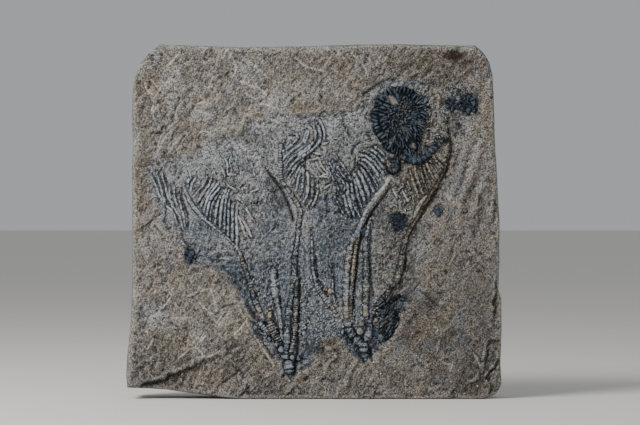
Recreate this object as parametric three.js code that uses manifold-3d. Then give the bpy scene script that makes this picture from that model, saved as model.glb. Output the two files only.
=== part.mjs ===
// Fossil sea lily slab: an upright slab of pale stone with a sunken bed, and in the bed two sea
// lilies whose ringed arms end in feathery fans, a round sea urchin disc and a few small fossils.
// X runs across the face, Z is up, and the face looks along -Y. All lengths are in millimetres.

import * as THREE from 'three';
import Module from 'manifold-3d';
import { mergeVertices } from 'three/addons/utils/BufferGeometryUtils.js';
import { ImprovedNoise } from 'three/addons/math/ImprovedNoise.js';

// Driving dimensions.
const SLAB_DEPTH = 28;
const BACK_Y = SLAB_DEPTH / 2;
const FOREMOST_Y = -SLAB_DEPTH / 2;
const FACE_Y = -12.75; // mean level of the rough stone face
const BED_Y = -11.5; // flat floor of the sunken bed, which every specimen lies on
const CUP_HEIGHT = BED_Y - FOREMOST_Y;
const ARM_HEIGHT = 1.75;
const FIN_HEIGHT = 1.1;
const FIN_WIDTH = 1.15;
const THREAD_HEIGHT = 1.2;
const RING_PITCH = 3.8; // two or three rings of a real arm stand in each ring of these arms
const FACE_CELL = 7.4; // cell of the rough stone face
const FACE_LUMP = 0.55; // height of the lumps of the rough stone face
const CUT_PAST = 2; // how far a cutting solid reaches past the face

const STONE = new THREE.Color(0x8f857a);
const BLUE_GREY = new THREE.Color(0x5f6a75);
const DARK_BLUE = new THREE.Color(0x2b3440);
const PALE = new THREE.Color(0x9a9488);

const wasm = await Module();
wasm.setup();

function solid(geometry) {
  const plain = geometry.clone();
  plain.deleteAttribute('normal');
  plain.deleteAttribute('uv');
  const merged = mergeVertices(plain.index ? plain.toNonIndexed() : plain, 1e-4);
  return new wasm.Manifold(new wasm.Mesh({
    numProp: 3,
    vertProperties: new Float32Array(merged.attributes.position.array),
    triVerts: new Uint32Array(merged.index.array),
  }));
}

function join(geometries) {
  return geometries.map(solid).reduce((whole, piece) => whole.add(piece));
}

function geometryOf(manifold) {
  const mesh = manifold.getMesh();
  const geometry = new THREE.BufferGeometry();
  geometry.setAttribute('position', new THREE.BufferAttribute(new Float32Array(mesh.vertProperties), 3));
  geometry.setIndex(new THREE.BufferAttribute(new Uint32Array(mesh.triVerts), 1));
  geometry.computeVertexNormals();
  return geometry;
}

// A plan is a list of [x, z] points on the face.
function plan(points) {
  return points.map(([x, z]) => new THREE.Vector2(x, z));
}

// Skin over rings of points. Each ring runs anticlockwise for an eye that the rings travel towards.
function skin(rings) {
  const count = rings[0].length;
  const flat = rings[0].map((point) => new THREE.Vector2(point.x, point.z));
  const cap = count > 8 ? THREE.ShapeUtils.triangulateShape(flat, []) : [];
  for (let i = 1; count <= 8 && i < count - 1; i += 1) {
    cap.push([0, i, i + 1]);
  }
  const faces = [];
  for (let k = 0; k < rings.length - 1; k += 1) {
    for (let i = 0; i < count; i += 1) {
      const next = (i + 1) % count;
      const [a, b] = [k * count + i, k * count + next];
      const [c, d] = [b + count, a + count];
      faces.push(a, b, c, a, c, d);
    }
  }
  const last = (rings.length - 1) * count;
  for (const [a, b, c] of cap) {
    faces.push(a, c, b, last + a, last + b, last + c);
  }
  const geometry = new THREE.BufferGeometry().setFromPoints(rings.flat());
  geometry.setIndex(faces);
  return geometry;
}

// Value at u between 0 and 1 of a row of evenly spaced values.
function along(values, u) {
  const place = u * (values.length - 1);
  const k = Math.min(Math.floor(place), values.length - 2);
  return THREE.MathUtils.lerp(values[k], values[k + 1], place - k);
}

// A strip on the bed along a curve: flat underneath, with a ridge or a narrow top, and ringed where
// it has a pitch.
function strip({ path, widths, height, pitch = 0, shoulder = 0.5, steps = 0 }) {
  const curve = new THREE.SplineCurve(plan(path));
  const rings = pitch ? Math.round(curve.getLength() / pitch) : 0;
  const count = rings ? rings * 2 : steps || (path.length - 1) * 2;
  const sections = [];
  for (let k = 0; k <= count; k += 1) {
    const u = k / count;
    const centre = curve.getPointAt(u);
    const tangent = curve.getTangentAt(u);
    const crest = rings && k % 2 === 0 ? 0.84 : 1;
    const half = along(widths, u) / 2 * crest;
    const top = BED_Y - height * (rings && k % 2 === 0 ? 0.78 : 1);
    const normal = new THREE.Vector2(-tangent.y, tangent.x);
    const at = (offset, y) => new THREE.Vector3(centre.x + normal.x * offset, y, centre.y + normal.y * offset);
    const ridge = shoulder ? [at(half * shoulder, top), at(-half * shoulder, top)] : [at(0, top)];
    sections.push([at(-half, BED_Y), at(half, BED_Y), ...ridge]);
  }
  return skin(sections);
}

// The feathery side branches of an arm: thin ridges, each listed from its root on the arm.
function fins(paths) {
  return paths.map((path) => strip({
    path, widths: [FIN_WIDTH, FIN_WIDTH, FIN_WIDTH * 0.7], height: FIN_HEIGHT, shoulder: 0,
    steps: path.length - 1,
  }));
}

// A low round mound on the bed: a flat disc whose top edge is rounded off.
function mound(x, z, radius, height, sides = 10, stretch = 1) {
  const profile = [
    new THREE.Vector2(0, 0),
    new THREE.Vector2(radius, 0),
    new THREE.Vector2(radius * 0.85, height * 0.6),
    new THREE.Vector2(radius * 0.4, height),
    new THREE.Vector2(0, height),
  ];
  const geometry = new THREE.LatheGeometry(profile, sides);
  geometry.scale(1, -1, stretch);
  geometry.index.array.reverse();
  geometry.translate(x, BED_Y, z);
  return geometry;
}

// A flat round disc on the bed.
function disc(x, z, radius, height, sides) {
  const geometry = new THREE.CylinderGeometry(radius, radius, height, sides);
  geometry.translate(x, BED_Y - height / 2, z);
  return geometry;
}

// A prism between two depths, with a plan outline.
function prism(outline, backY, frontY) {
  const geometry = new THREE.ExtrudeGeometry(new THREE.Shape(plan(outline)), {
    depth: backY - frontY, bevelEnabled: false,
  });
  geometry.rotateX(Math.PI / 2);
  geometry.translate(0, backY, 0);
  return geometry;
}

// ---- The stone slab ----

// Outline of the face, anticlockwise from the left end of the flat base.
const SLAB_OUTLINE = [
  [-42, 0], [-7, 0], [46, 0], [89, 0], [96.8, 2.4], [100, 7.7], [99.5, 21], [100, 37], [100, 53],
  [98.4, 58], [98.9, 74], [98.9, 98], [97.9, 114], [96.8, 132.5], [96.3, 143], [95.8, 162],
  [95.2, 172.4], [93.6, 179.3], [90.4, 184.6], [86, 188.3], [66, 188.5], [46, 188.8], [25, 188.8],
  [-7, 187.8], [-39, 187.3], [-68, 188.3], [-81.7, 188.8], [-85.4, 186.2], [-89, 183], [-93.4, 178],
  [-95.5, 170], [-96.5, 164], [-97, 154], [-96.5, 132.5], [-97, 106], [-96.5, 79], [-97, 53],
  [-97.6, 42], [-98.7, 29], [-99.7, 21], [-100, 13], [-99.2, 6.1], [-79, 5], [-60.4, 2.4],
];

// Outline of the sunken bed, with room round the cups that hang from its lower edge.
const BED_OUTLINE = [
  [-87.5, 125], [-87.5, 116.6], [-84.5, 108.6], [-83, 100.7], [-79, 90], [-69.5, 82], [-65.7, 72],
  [-57.8, 73], [-49.8, 68.8], [-43.4, 60.8], [-37.5, 52.9], [-31.5, 34.3], [-22, 26], [-18.6, 18],
  [-16.5, 10.5], [-8.5, 10.5], [-6.8, 17], [-0.9, 22], [4.4, 30.5], [12.9, 31.5], [21, 25.2],
  [24.5, 18.5], [31, 18.5], [33, 26], [40.5, 31.7], [47, 45], [52, 53], [51.5, 58], [52.3, 74],
  [55, 87.4], [60, 98], [68, 108.6], [73, 117.7], [77, 128.3], [79, 138], [80.3, 145.8],
  [88.3, 152.7], [88.8, 160], [82, 167], [72.4, 170.8], [59, 169.7], [41.6, 171.3], [35.2, 169.7],
  [30.9, 166], [26.2, 163.3], [24.6, 159], [21.9, 154.9], [13.9, 152.2], [2.3, 152.2],
  [-7.3, 151], [-20.6, 152], [-27.5, 150], [-34, 145.8], [-39, 140.5], [-53.5, 136.8],
  [-60.4, 132.5], [-68.4, 128.3], [-73.7, 129.9], [-81.7, 128.8],
];

// Flakes that have broken away from the face along its edges, each with the level it broke to.
const FLAKES = [
  { floor: -10.2, outline: [[-103, -2], [-58, -2], [-61, 9], [-65.7, 16.7], [-72, 15.7], [-76.3, 13],
    [-81.7, 10.4], [-89.6, 8.8], [-96.5, 5], [-103, 4.6]] },
  { floor: -10.6, outline: [[103, 36], [103, 72], [97.3, 71], [96.3, 55.5], [94.7, 51], [96.3, 47.5],
    [94.2, 42], [97.3, 37]] },
  { floor: -11.4, outline: [[73.4, -2], [103, -2], [103, 33], [93, 31.6], [92, 23.6], [90.4, 15.7],
    [87.3, 11.4], [80.3, 7.7], [73.4, 5]] },
  { floor: -9.6, outline: [[93.6, -2], [103, -2], [103, 20], [98.4, 20], [94.7, 15.7], [91.5, 11.4],
    [93.6, 6]] },
];

// Levels of the edge from back to front: how far each is set back, and how uneven it is.
const EDGE_LEVELS = [
  { y: BACK_Y, inset: 1, rough: 0.5 },
  { y: 12.8, inset: 0, rough: 1 },
  { y: 6, inset: 0.2, rough: 1.2 },
  { y: 5.4, inset: 0.9, rough: 1.4 },
  { y: -2.6, inset: 0.1, rough: 1 },
  { y: -3.2, inset: 0, rough: 0 },
  { y: -10.4, inset: 0, rough: 0 },
  { y: -12, inset: 1.3, rough: 0 },
  { y: FOREMOST_Y, inset: 4.5, rough: 0 },
];

const BASE_ROUNDING = 0.4; // the front edge rounds off less along the base than elsewhere

// The edge pulled in towards the middle of the slab at one level. The flat base stays on its level
// until the front edge rounds off.
function edgeRing({ y, inset, rough }, level) {
  const corners = plan(SLAB_OUTLINE);
  return corners.map((corner, i) => {
    const before = corners[(i + corners.length - 1) % corners.length];
    const after = corners[(i + 1) % corners.length];
    const inward = after.clone().sub(before).normalize().rotateAround(new THREE.Vector2(), Math.PI / 2);
    const chip = rough * (1 + Math.sin(i * 2.3 + level * 1.9)) / 2;
    const basePull = y < BED_Y ? inset * BASE_ROUNDING : 0;
    const pull = corner.y === 0 ? basePull : inset + chip;
    return new THREE.Vector3(corner.x + inward.x * pull, y, corner.y + inward.y * pull);
  });
}

// A block whose front is the rough face: broad lumps, and ripples that run from the upper right to
// the lower left. It reaches past the slab on every other side and narrows to a point behind it.
const BLOCK = { left: -106, bottom: -6, width: 212, height: 200, jitter: 1.2, apexY: 400 };

function faceHeight(x, z) {
  const noise = new ImprovedNoise();
  const ripple = noise.noise((x - z) / 13, (x + z) / 70, 0.5);
  const swell = noise.noise(x / 31, z / 31, 3.7);
  return FACE_LUMP * (ripple + swell);
}

function roughBlock() {
  const { left, bottom, width, height, jitter, apexY } = BLOCK;
  const columns = Math.round(width / FACE_CELL);
  const rows = Math.round(height / FACE_CELL);
  const across = columns + 1;
  const points = [];
  for (let j = 0; j <= rows; j += 1) {
    for (let i = 0; i <= columns; i += 1) {
      const x = left + i * FACE_CELL + jitter * Math.sin(i * 5.1 + j * 3.7);
      const z = bottom + j * FACE_CELL + jitter * Math.sin(i * 2.9 + j * 4.3);
      points.push(new THREE.Vector3(x, FACE_Y - faceHeight(x, z), z));
    }
  }
  const apex = points.length;
  points.push(new THREE.Vector3(left + width / 2, apexY, bottom + height / 2));
  const faces = [];
  for (let j = 0; j < rows; j += 1) {
    for (let i = 0; i < columns; i += 1) {
      const a = j * across + i;
      faces.push(a, a + 1, a + across + 1, a, a + across + 1, a + across);
    }
  }
  for (let i = 0; i < columns; i += 1) {
    const top = rows * across + i;
    faces.push(i + 1, i, apex, top, top + 1, apex);
  }
  for (let j = 0; j < rows; j += 1) {
    const low = j * across;
    faces.push(low, low + across, apex, low + across + columns, low + columns, apex);
  }
  const geometry = new THREE.BufferGeometry().setFromPoints(points);
  geometry.setIndex(faces);
  return geometry;
}

// Broken sticks that lie loose on the bed, grown into the stone.
const STICK_SINK = 0.25;
const STICKS = [
  [[-46, 119.5], [-41, 119.5]], [[-46, 114], [-41, 111]], [[-41.5, 108], [-37.5, 104.5]],
  [[-40, 97], [-37.5, 91]], [[-37, 95], [-33, 86]], [[-34, 110], [-29, 112]],
  [[8, 120], [3.5, 118.6]], [[5, 111.5], [9, 114.5]], [[14.5, 118], [18, 122]],
  [[4, 127.5], [8, 127]], [[42, 112], [44.5, 107]], [[47, 111], [50.5, 105]],
];

function slab() {
  const sticks = STICKS.map((path) => strip({
    path, widths: [1.6, 1.3], height: THREAD_HEIGHT, shoulder: 0.4, steps: 1,
  }).translate(0, STICK_SINK, 0));
  const hollows = [
    prism(BED_OUTLINE, BED_Y, FOREMOST_Y - CUT_PAST),
    hollow(BEAD.x, BEAD.z, BEAD.radius + HOLLOW_ROOM),
    hollow(FRAGMENT.x, FRAGMENT.z, FRAGMENT.radius + HOLLOW_ROOM, FRAGMENT.stretch),
    ...FLAKES.map(({ floor, outline }) => prism(outline, floor, FOREMOST_Y - CUT_PAST)),
  ];
  const body = solid(skin(EDGE_LEVELS.map(edgeRing))).intersect(solid(roughBlock()));
  const cut = hollows.map(solid).reduce((whole, piece) => whole.subtract(piece), body);
  return geometryOf(cut.add(join(sticks)));
}

// A round hollow with its floor on the level of the bed.
const HOLLOW_ROOM = 0.8;

function hollow(x, z, radius, stretch = 1) {
  const depth = BED_Y - FOREMOST_Y + CUT_PAST;
  const geometry = new THREE.CylinderGeometry(radius, radius, depth, 12);
  geometry.scale(1, 1, stretch);
  geometry.translate(x, BED_Y - depth / 2, z);
  return geometry;
}

// ---- The left sea lily ----

function leftCup() {
  return geometryOf(join([
    strip({ path: [[-12.4, 12], [-13.4, 17], [-14.5, 22.2]], widths: [4.6, 6.8, 6.4], height: CUP_HEIGHT,
      pitch: 2.6, shoulder: 0.55 }),
  ]));
}

function leftLongArm() {
  const arm = strip({
    path: [[-16.6, 22.7], [-18.3, 27], [-20.6, 33.2], [-23.2, 39.6], [-26.6, 46.5], [-30.7, 55.5],
      [-33.9, 63.5], [-37.6, 73], [-40.8, 79.4], [-46.6, 87.4], [-54, 94.3], [-60.4, 100.7],
      [-65.7, 108.6], [-69.5, 115.5]],
    widths: [1.8, 4.2, 4.5, 4.3, 4, 3.8, 3.6, 3.2, 2.2], height: ARM_HEIGHT, pitch: RING_PITCH,
  });
  const crushedStrip = strip({
    path: [[-28.8, 41.5], [-25, 37], [-21.8, 33]], widths: [3, 3.4, 2.6], height: THREAD_HEIGHT,
    pitch: RING_PITCH,
  });
  const fan = fins([
    [[-67.5, 111], [-66, 113], [-62, 118]],
    [[-66, 107.5], [-63.5, 108], [-59, 113], [-55, 118]],
    [[-64, 105], [-62, 105.5], [-58, 110], [-53, 116]],
    [[-61.5, 101], [-59.5, 101.5], [-57, 105], [-54, 110], [-50, 114]],
    [[-58.5, 98.3], [-57, 100], [-56, 104], [-53, 109], [-49, 113]],
    [[-55.5, 95.5], [-54.5, 98], [-54, 102], [-52, 107], [-48, 112]],
    [[-52.8, 93], [-51.8, 97], [-50.7, 102], [-49, 108], [-46, 113]],
    [[-50.2, 90.8], [-49, 95], [-48.5, 100], [-47.3, 105], [-45.6, 110]],
    [[-47.6, 88.4], [-46.5, 93], [-46, 100], [-45.2, 106]],
    [[-45.2, 86], [-44.2, 91], [-43.8, 98], [-43.2, 106]],
    [[-43, 82.8], [-41.8, 88], [-41.5, 96], [-41.3, 102]],
    [[-41, 79.8], [-39.2, 84], [-38.8, 89]],
    [[-39, 76], [-36.8, 80], [-35.8, 84]],
  ]);
  return geometryOf(join([arm, crushedStrip, ...fan]));
}

function leftMiddleArm() {
  return geometryOf(join([
    strip({
      path: [[-14.4, 22.7], [-15.1, 27], [-15.9, 31.6], [-17, 42], [-18.2, 53], [-19.1, 61],
        [-20.1, 70.5]],
      widths: [1.6, 2.8, 3.6, 3.8, 3.8, 3.6], height: ARM_HEIGHT, pitch: RING_PITCH,
    }),
  ]));
}

function leftTallArm() {
  const arm = strip({
    path: [[-12.1, 22.7], [-11.8, 27], [-11.3, 31.6], [-10.7, 42.2], [-10.6, 52.9], [-10.8, 63.5],
      [-10.2, 75], [-8.4, 87.4], [-7.5, 96.4], [-9.4, 103.3], [-13.1, 109.7], [-16.3, 115.5],
      [-17.3, 121], [-18, 127], [-18, 134]],
    widths: [1.8, 5, 5.8, 5.6, 5, 4.6, 4.2, 3.6, 3, 2.6, 1.8], height: ARM_HEIGHT, pitch: RING_PITCH,
  });
  const fan = fins([
    [[-18, 131], [-15.5, 133], [-13, 135.5], [-10.5, 139]],
    [[-18, 126], [-15.5, 128.3], [-12, 131], [-7, 135], [-2, 139], [-0.5, 142.5]],
    [[-17.5, 121.5], [-15, 123], [-12, 126.2], [-8, 129.7], [-3, 132.6], [2, 136.5], [3.6, 142],
      [2.6, 147], [0.5, 149.5]],
    [[-16.5, 117.5], [-14, 120], [-11, 123.6], [-8, 127], [-3.5, 130]],
    [[-14.5, 112.5], [-12, 116], [-9.5, 120.5], [-6.3, 124.6], [-3.5, 127.5]],
    [[-12, 108.5], [-9.9, 113], [-8, 118], [-5, 123]],
    [[-10, 105], [-7.6, 109], [-6.8, 114], [-5.6, 119]],
    [[-8.4, 101.5], [-5.2, 106], [-4.5, 112], [-3.8, 118]],
    [[-7.3, 98], [-2.8, 104], [-2, 111], [-1.8, 118]],
    [[-7.2, 94], [-0.5, 101], [0.5, 108], [0.6, 115]],
  ]);
  return geometryOf(join([arm, ...fan]));
}

function leftFarArm() {
  const branch = (path) => strip({
    path, widths: [1.6, 1.8, 1.7, 1.3], height: THREAD_HEIGHT, shoulder: 0.35,
  });
  return geometryOf(join([
    branch([[-70, 91], [-75, 96], [-79, 101], [-81, 106], [-82.6, 112], [-84.3, 117], [-85, 122.5]]),
    branch([[-70, 91], [-72.5, 99], [-76.3, 106], [-78, 112], [-79.5, 117], [-80, 121.5]]),
    branch([[-70, 91], [-71, 99], [-73, 107], [-75, 114.5]]),
  ]));
}

// ---- The right sea lily ----

// The stub and the two rows of thick plates that open from it like a V.
function rightCup() {
  return geometryOf(join([
    strip({ path: [[27.8, 20.3], [27, 24], [26, 28.3]], widths: [4.4, 6.6, 5.6], height: CUP_HEIGHT,
      pitch: 2.7, shoulder: 0.55 }),
    strip({ path: [[25.4, 26.5], [22, 30], [19.2, 34.5], [18.3, 39.4]], widths: [4.4, 4.6, 6, 4.6],
      height: 2.2, pitch: 3.4, shoulder: 0.55 }),
    strip({ path: [[26.6, 26.5], [28.1, 32], [28.6, 36], [29, 40.6]], widths: [4, 3.6, 3.6, 3.2],
      height: 2, pitch: 3.4, shoulder: 0.55 }),
    mound(24.7, 36.6, 2.4, 1.6),
    mound(25.8, 39.8, 1.7, 1.4),
  ]));
}

function rightThinArm() {
  const arm = strip({
    path: [[14.6, 43.6], [10.2, 50.2], [5.4, 57], [1.9, 63.5], [0.2, 71.4], [-0.7, 82], [-1.4, 92.5]],
    widths: [2.4, 3, 3, 2.8, 2.4, 2, 1.6], height: 1.5, pitch: RING_PITCH,
  });
  const thread = strip({
    path: [[12.4, 47.6], [11.3, 53], [10.6, 58], [10.6, 64.5], [10.6, 71]], widths: [1.4, 1.4, 1.1],
    height: THREAD_HEIGHT, shoulder: 0.35,
  });
  return geometryOf(join([arm, thread]));
}

function rightInnerArm() {
  const arm = strip({
    path: [[18.2, 40.2], [18.2, 46], [18.3, 52.9], [18.8, 60.8], [20.2, 71.4], [21.8, 80.5],
      [23.8, 87.4], [26.2, 93.2], [30.9, 100.7], [35.2, 107.6], [38, 112.4], [39.1, 117.7],
      [38.2, 122], [36, 127]],
    widths: [4, 5.2, 5.2, 5, 4.6, 4.2, 3.8, 3.6, 3.4, 3, 2, 1.4], height: ARM_HEIGHT, pitch: RING_PITCH,
  });
  const fan = fins([
    [[38, 124.5], [33.5, 129.4], [29, 132.6]],
    [[39, 121], [35.5, 124.8], [32, 128.2], [27, 131]],
    [[39.3, 118], [35, 121], [30.8, 125.4], [25.5, 129]],
    [[38.6, 114], [33.2, 117.8], [29, 122.4], [24.6, 126.6]],
    [[36.6, 110.5], [31.6, 113], [27.8, 118.3], [24.8, 122.5]],
    [[34, 106.5], [29.2, 109], [26, 114.2], [22.8, 120]],
    [[31.2, 102], [27, 104.6], [24, 109.5], [21.3, 117]],
    [[28.6, 98], [24.6, 101.4], [21.6, 107.5], [19.4, 114.6]],
    [[26.2, 94], [22, 98.6], [18.8, 105], [16.6, 112]],
    [[24.3, 89.5], [19.6, 95.6], [16.2, 102.5], [14, 110]],
  ]);
  return geometryOf(join([arm, ...fan]));
}

function rightMiddleArm() {
  return geometryOf(join([
    strip({
      path: [[28.8, 42], [28.6, 47], [28.5, 52.9], [28.1, 63.5], [27.7, 73], [27.3, 80], [28.2, 86.5],
        [29.9, 91.6], [32, 97]],
      widths: [2.8, 3.6, 3.8, 3.8, 3.7, 3, 1.5, 1], height: ARM_HEIGHT, pitch: RING_PITCH,
    }),
  ]));
}

function rightOuterArm() {
  const arm = strip({
    path: [[33, 46.5], [35.8, 53.9], [40.5, 59.8], [44.6, 66.1], [46.9, 74.1], [48.5, 82.1],
      [51.7, 90], [56.4, 99.1], [60.7, 106], [65.8, 112.9], [69.8, 120.9], [72, 128.3], [73.4, 134.6]],
    widths: [3.2, 3.8, 3.8, 3.8, 3.6, 3.6, 3.4, 3.2, 2.8, 2.2], height: ARM_HEIGHT, pitch: RING_PITCH,
  });
  const fan = fins([
    [[57.2, 100.5], [54.8, 108], [52.8, 114], [51.8, 120], [52, 125.5]],
    [[60.4, 105.5], [58, 112], [56, 118], [54.6, 124.5]],
    [[64, 110.5], [61, 115.5], [59, 120], [56.9, 126]],
    [[67, 115], [63.6, 120.5], [60.2, 125.2]],
    [[69.6, 120.5], [66.2, 124], [62.4, 127.6]],
  ]);
  return geometryOf(join([arm, ...fan]));
}

// ---- The sea urchin and the small fossils ----

const URCHIN = { x: 45.8, z: 150.4, radius: 15.9, plate: 11, core: 6, rods: 28, height: 1.6 };
const BEAD = { x: 66, z: 100.5, radius: 2.7 };
const FRAGMENT = { x: -66, z: 76, radius: 3, stretch: 1.35 };

// A flat round test with a granular middle, and the short spines that lie round it like spokes.
function seaUrchin() {
  const { x, z, radius, plate, core, rods, height } = URCHIN;
  const spokes = [];
  for (let k = 0; k < rods; k += 1) {
    const turn = k / rods * Math.PI * 2 + 0.06 * Math.sin(k * 2.7);
    const inner = core * (k % 2 ? 0.9 : 1.25);
    const outer = radius * (0.93 + 0.07 * Math.sin(k * 1.7));
    const spot = (reach, lean) => [x + Math.cos(turn + lean) * reach, z + Math.sin(turn + lean) * reach];
    spokes.push(strip({
      path: [spot(inner, 0), spot(outer, 0.09 * Math.sin(k * 2.1))], widths: [1.3, 1.5],
      height: height - 0.25 * (k % 2), shoulder: 0, steps: 1,
    }));
  }
  const grains = [];
  for (let k = 0; k < 5; k += 1) {
    const turn = k / 5 * Math.PI * 2;
    grains.push(mound(x + Math.cos(turn) * core * 0.6, z + Math.sin(turn) * core * 0.6, 1.9, 2, 6));
  }
  return geometryOf(join([
    disc(x, z, plate, 0.8, 14), ...grains, ...spokes,
  ]));
}

function curledArm() {
  const tail = strip({
    path: [[45, 131.3], [50, 130], [55.5, 129.4], [60, 131], [64, 133.6], [68, 136.6], [72, 139.4]],
    widths: [4, 3.8, 3.6, 3, 2.4], height: 1.6, pitch: RING_PITCH,
  });
  return geometryOf(join([tail]));
}

function lobedPlates() {
  const lobes = [[81.4, 157.6, 4, 4.6], [74.2, 157.2, 3, 3.6]].flatMap(([x, z, count, reach]) => {
    const flower = [mound(x, z, reach * 0.6, 1.3, 6)];
    for (let k = 0; k < count; k += 1) {
      const turn = k / count * Math.PI * 2 + 0.4;
      const offset = reach * 0.6;
      flower.push(mound(x + Math.cos(turn) * offset, z + Math.sin(turn) * offset, reach * 0.42, 1.2, 6));
    }
    return flower;
  });
  return geometryOf(join(lobes));
}

const part = new THREE.Group();

function place(name, geometry, color) {
  const material = new THREE.MeshStandardMaterial({ color, roughness: 0.9, metalness: 0 });
  const mesh = new THREE.Mesh(geometry, material);
  mesh.name = name;
  part.add(mesh);
}

place('slab', slab(), STONE);
place('left_cup', leftCup(), DARK_BLUE);
place('left_long_arm', leftLongArm(), BLUE_GREY);
place('left_middle_arm', leftMiddleArm(), BLUE_GREY);
place('left_tall_arm', leftTallArm(), BLUE_GREY);
place('left_far_arm', leftFarArm(), PALE);
place('right_cup', rightCup(), DARK_BLUE);
place('right_thin_arm', rightThinArm(), PALE);
place('right_inner_arm', rightInnerArm(), BLUE_GREY);
place('right_middle_arm', rightMiddleArm(), BLUE_GREY);
place('right_outer_arm', rightOuterArm(), PALE);
place('sea_urchin', seaUrchin(), DARK_BLUE);
place('curled_arm', curledArm(), DARK_BLUE);
place('knob', mound(43.3, 124.4, 3.4, 1.9, 14, 1.2), BLUE_GREY);
place('lobed_plates', lobedPlates(), DARK_BLUE);
place('bead', mound(BEAD.x, BEAD.z, BEAD.radius, 1.7, 12), DARK_BLUE);
place('left_fragment', mound(FRAGMENT.x, FRAGMENT.z, FRAGMENT.radius, 1.4, 10, FRAGMENT.stretch), DARK_BLUE);
place('loose_plate', mound(8.2, 58.2, 1.2, 1.3, 8), PALE);

export default part;
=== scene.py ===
import math

import bpy
import numpy as np
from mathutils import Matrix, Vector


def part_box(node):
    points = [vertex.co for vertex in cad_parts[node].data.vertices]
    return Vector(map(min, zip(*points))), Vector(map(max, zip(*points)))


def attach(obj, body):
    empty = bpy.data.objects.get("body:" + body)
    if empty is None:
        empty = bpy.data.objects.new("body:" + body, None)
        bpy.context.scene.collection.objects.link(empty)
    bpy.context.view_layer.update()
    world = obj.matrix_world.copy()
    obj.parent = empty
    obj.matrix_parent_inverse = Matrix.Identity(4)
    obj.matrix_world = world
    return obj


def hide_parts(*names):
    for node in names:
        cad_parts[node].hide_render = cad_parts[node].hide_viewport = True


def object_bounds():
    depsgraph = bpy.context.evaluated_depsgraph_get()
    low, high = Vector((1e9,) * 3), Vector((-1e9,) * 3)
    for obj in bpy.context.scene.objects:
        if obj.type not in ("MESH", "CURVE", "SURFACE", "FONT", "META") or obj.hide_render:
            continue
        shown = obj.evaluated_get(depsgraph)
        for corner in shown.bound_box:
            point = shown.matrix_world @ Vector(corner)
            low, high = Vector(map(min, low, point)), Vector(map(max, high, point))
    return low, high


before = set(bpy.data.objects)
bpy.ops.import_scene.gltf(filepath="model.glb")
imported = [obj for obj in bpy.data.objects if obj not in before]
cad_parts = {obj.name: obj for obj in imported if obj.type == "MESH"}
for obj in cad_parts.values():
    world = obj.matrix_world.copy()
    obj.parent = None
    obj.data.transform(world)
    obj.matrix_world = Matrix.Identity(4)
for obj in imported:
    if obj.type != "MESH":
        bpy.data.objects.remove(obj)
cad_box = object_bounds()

MM = 0.001

# ---- The camera ----
# It looks level and straight at the face, and stands far off behind a long lens, so the slab's
# edges stay parallel. It comes first because everything else is judged through it.
view_width = 340.0 * MM
view_middle = (3.3 * MM, 99.3 * MM)
lens = 135.0
film = 36.0

camera_data = bpy.data.cameras.new("camera")
camera_data.lens = lens
camera_data.sensor_width = film
camera_data.clip_start = 0.01
camera = bpy.data.objects.new("camera", camera_data)
bpy.context.scene.collection.objects.link(camera)
camera.location = (view_middle[0], cad_box[0][1] - view_width * lens / film, view_middle[1])
camera.rotation_euler = (math.radians(90), 0, 0)
bpy.context.scene.camera = camera

# ---- The cup of the left sea lily ----
# The real cup is three rings of thick calcite plates, stacked like a short barrel, that once held
# the arms. It is dense blue-grey mineral, and lies half sunk in the floor of the bed.
bed_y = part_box("left_middle_arm")[1][1] / MM  # floor of the bed, in millimetres like all routes here
clearance = 0.03
tallest = bed_y - cad_box[0][1] / MM - clearance  # no fossil stands out further than this
sunk = 0.7  # how far the hidden feet of a fossil go down into the stone
creases = []  # the narrow dark hollows that run beside each fossil, which the stone is cut by later


def scatter(column, row, seed):
    """A number from 0 to 1 for each whole-numbered spot, the same on every run."""
    mixed = column.astype(np.int64) * 73856093 ^ row.astype(np.int64) * 19349663 ^ seed * 83492791
    mixed = (mixed ^ (mixed >> 13)) * 1274126177 & 0x7FFFFFFF
    mixed = (mixed ^ (mixed >> 11)) * 668265263 & 0x7FFFFFFF
    return mixed % 65521 / 65521


def lumps(x, z, size, seed):
    """Smooth lumps about size millimetres across, from about -1 to 1."""
    x, z = x / size, z / size
    column, row = np.floor(x), np.floor(z)
    right, up = x - column, z - row

    def pull(i, j):
        """The push of one corner of the grid, at random, on each spot near it."""
        turn = scatter(column + i, row + j, seed) * 2 * np.pi
        return np.cos(turn) * (right - i) + np.sin(turn) * (up - j)

    ease_x = right ** 3 * (right * (right * 6 - 15) + 10)
    ease_z = up ** 3 * (up * (up * 6 - 15) + 10)
    low = pull(0, 0) * (1 - ease_x) + pull(1, 0) * ease_x
    high = pull(0, 1) * (1 - ease_x) + pull(1, 1) * ease_x
    return (low * (1 - ease_z) + high * ease_z) * 1.6


def rough(x, z, size, layers, seed):
    """Lumps with finer lumps on them, each layer half as big as the last."""
    return sum(lumps(x, z, size / 2 ** k, seed + k) / 2 ** k for k in range(layers))


def route(points, step=0.35):
    """Evenly spaced spots along a smooth curve through a few chosen points."""
    p = np.array(points, float)
    p = np.vstack([2 * p[0] - p[1], p, 2 * p[-1] - p[-2]])
    spots_per_bend = 16
    t = np.linspace(0, 1, spots_per_bend, endpoint=False)[:, None]
    bends = [
        0.5 * (2 * b + (c - a) * t + (2 * a - 5 * b + 4 * c - d) * t ** 2 + (3 * b - a - 3 * c + d) * t ** 3)
        for a, b, c, d in zip(p, p[1:], p[2:], p[3:])
    ]
    fine = np.vstack(bends + [p[-2:-1]])
    reach = np.concatenate([[0], np.cumsum(np.hypot(*np.diff(fine, axis=0).T))])
    spots = np.linspace(0, reach[-1], max(int(reach[-1] / step), 3) + 1)
    return np.stack([np.interp(spots, reach, fine[:, 0]), np.interp(spots, reach, fine[:, 1])], 1)


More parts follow.
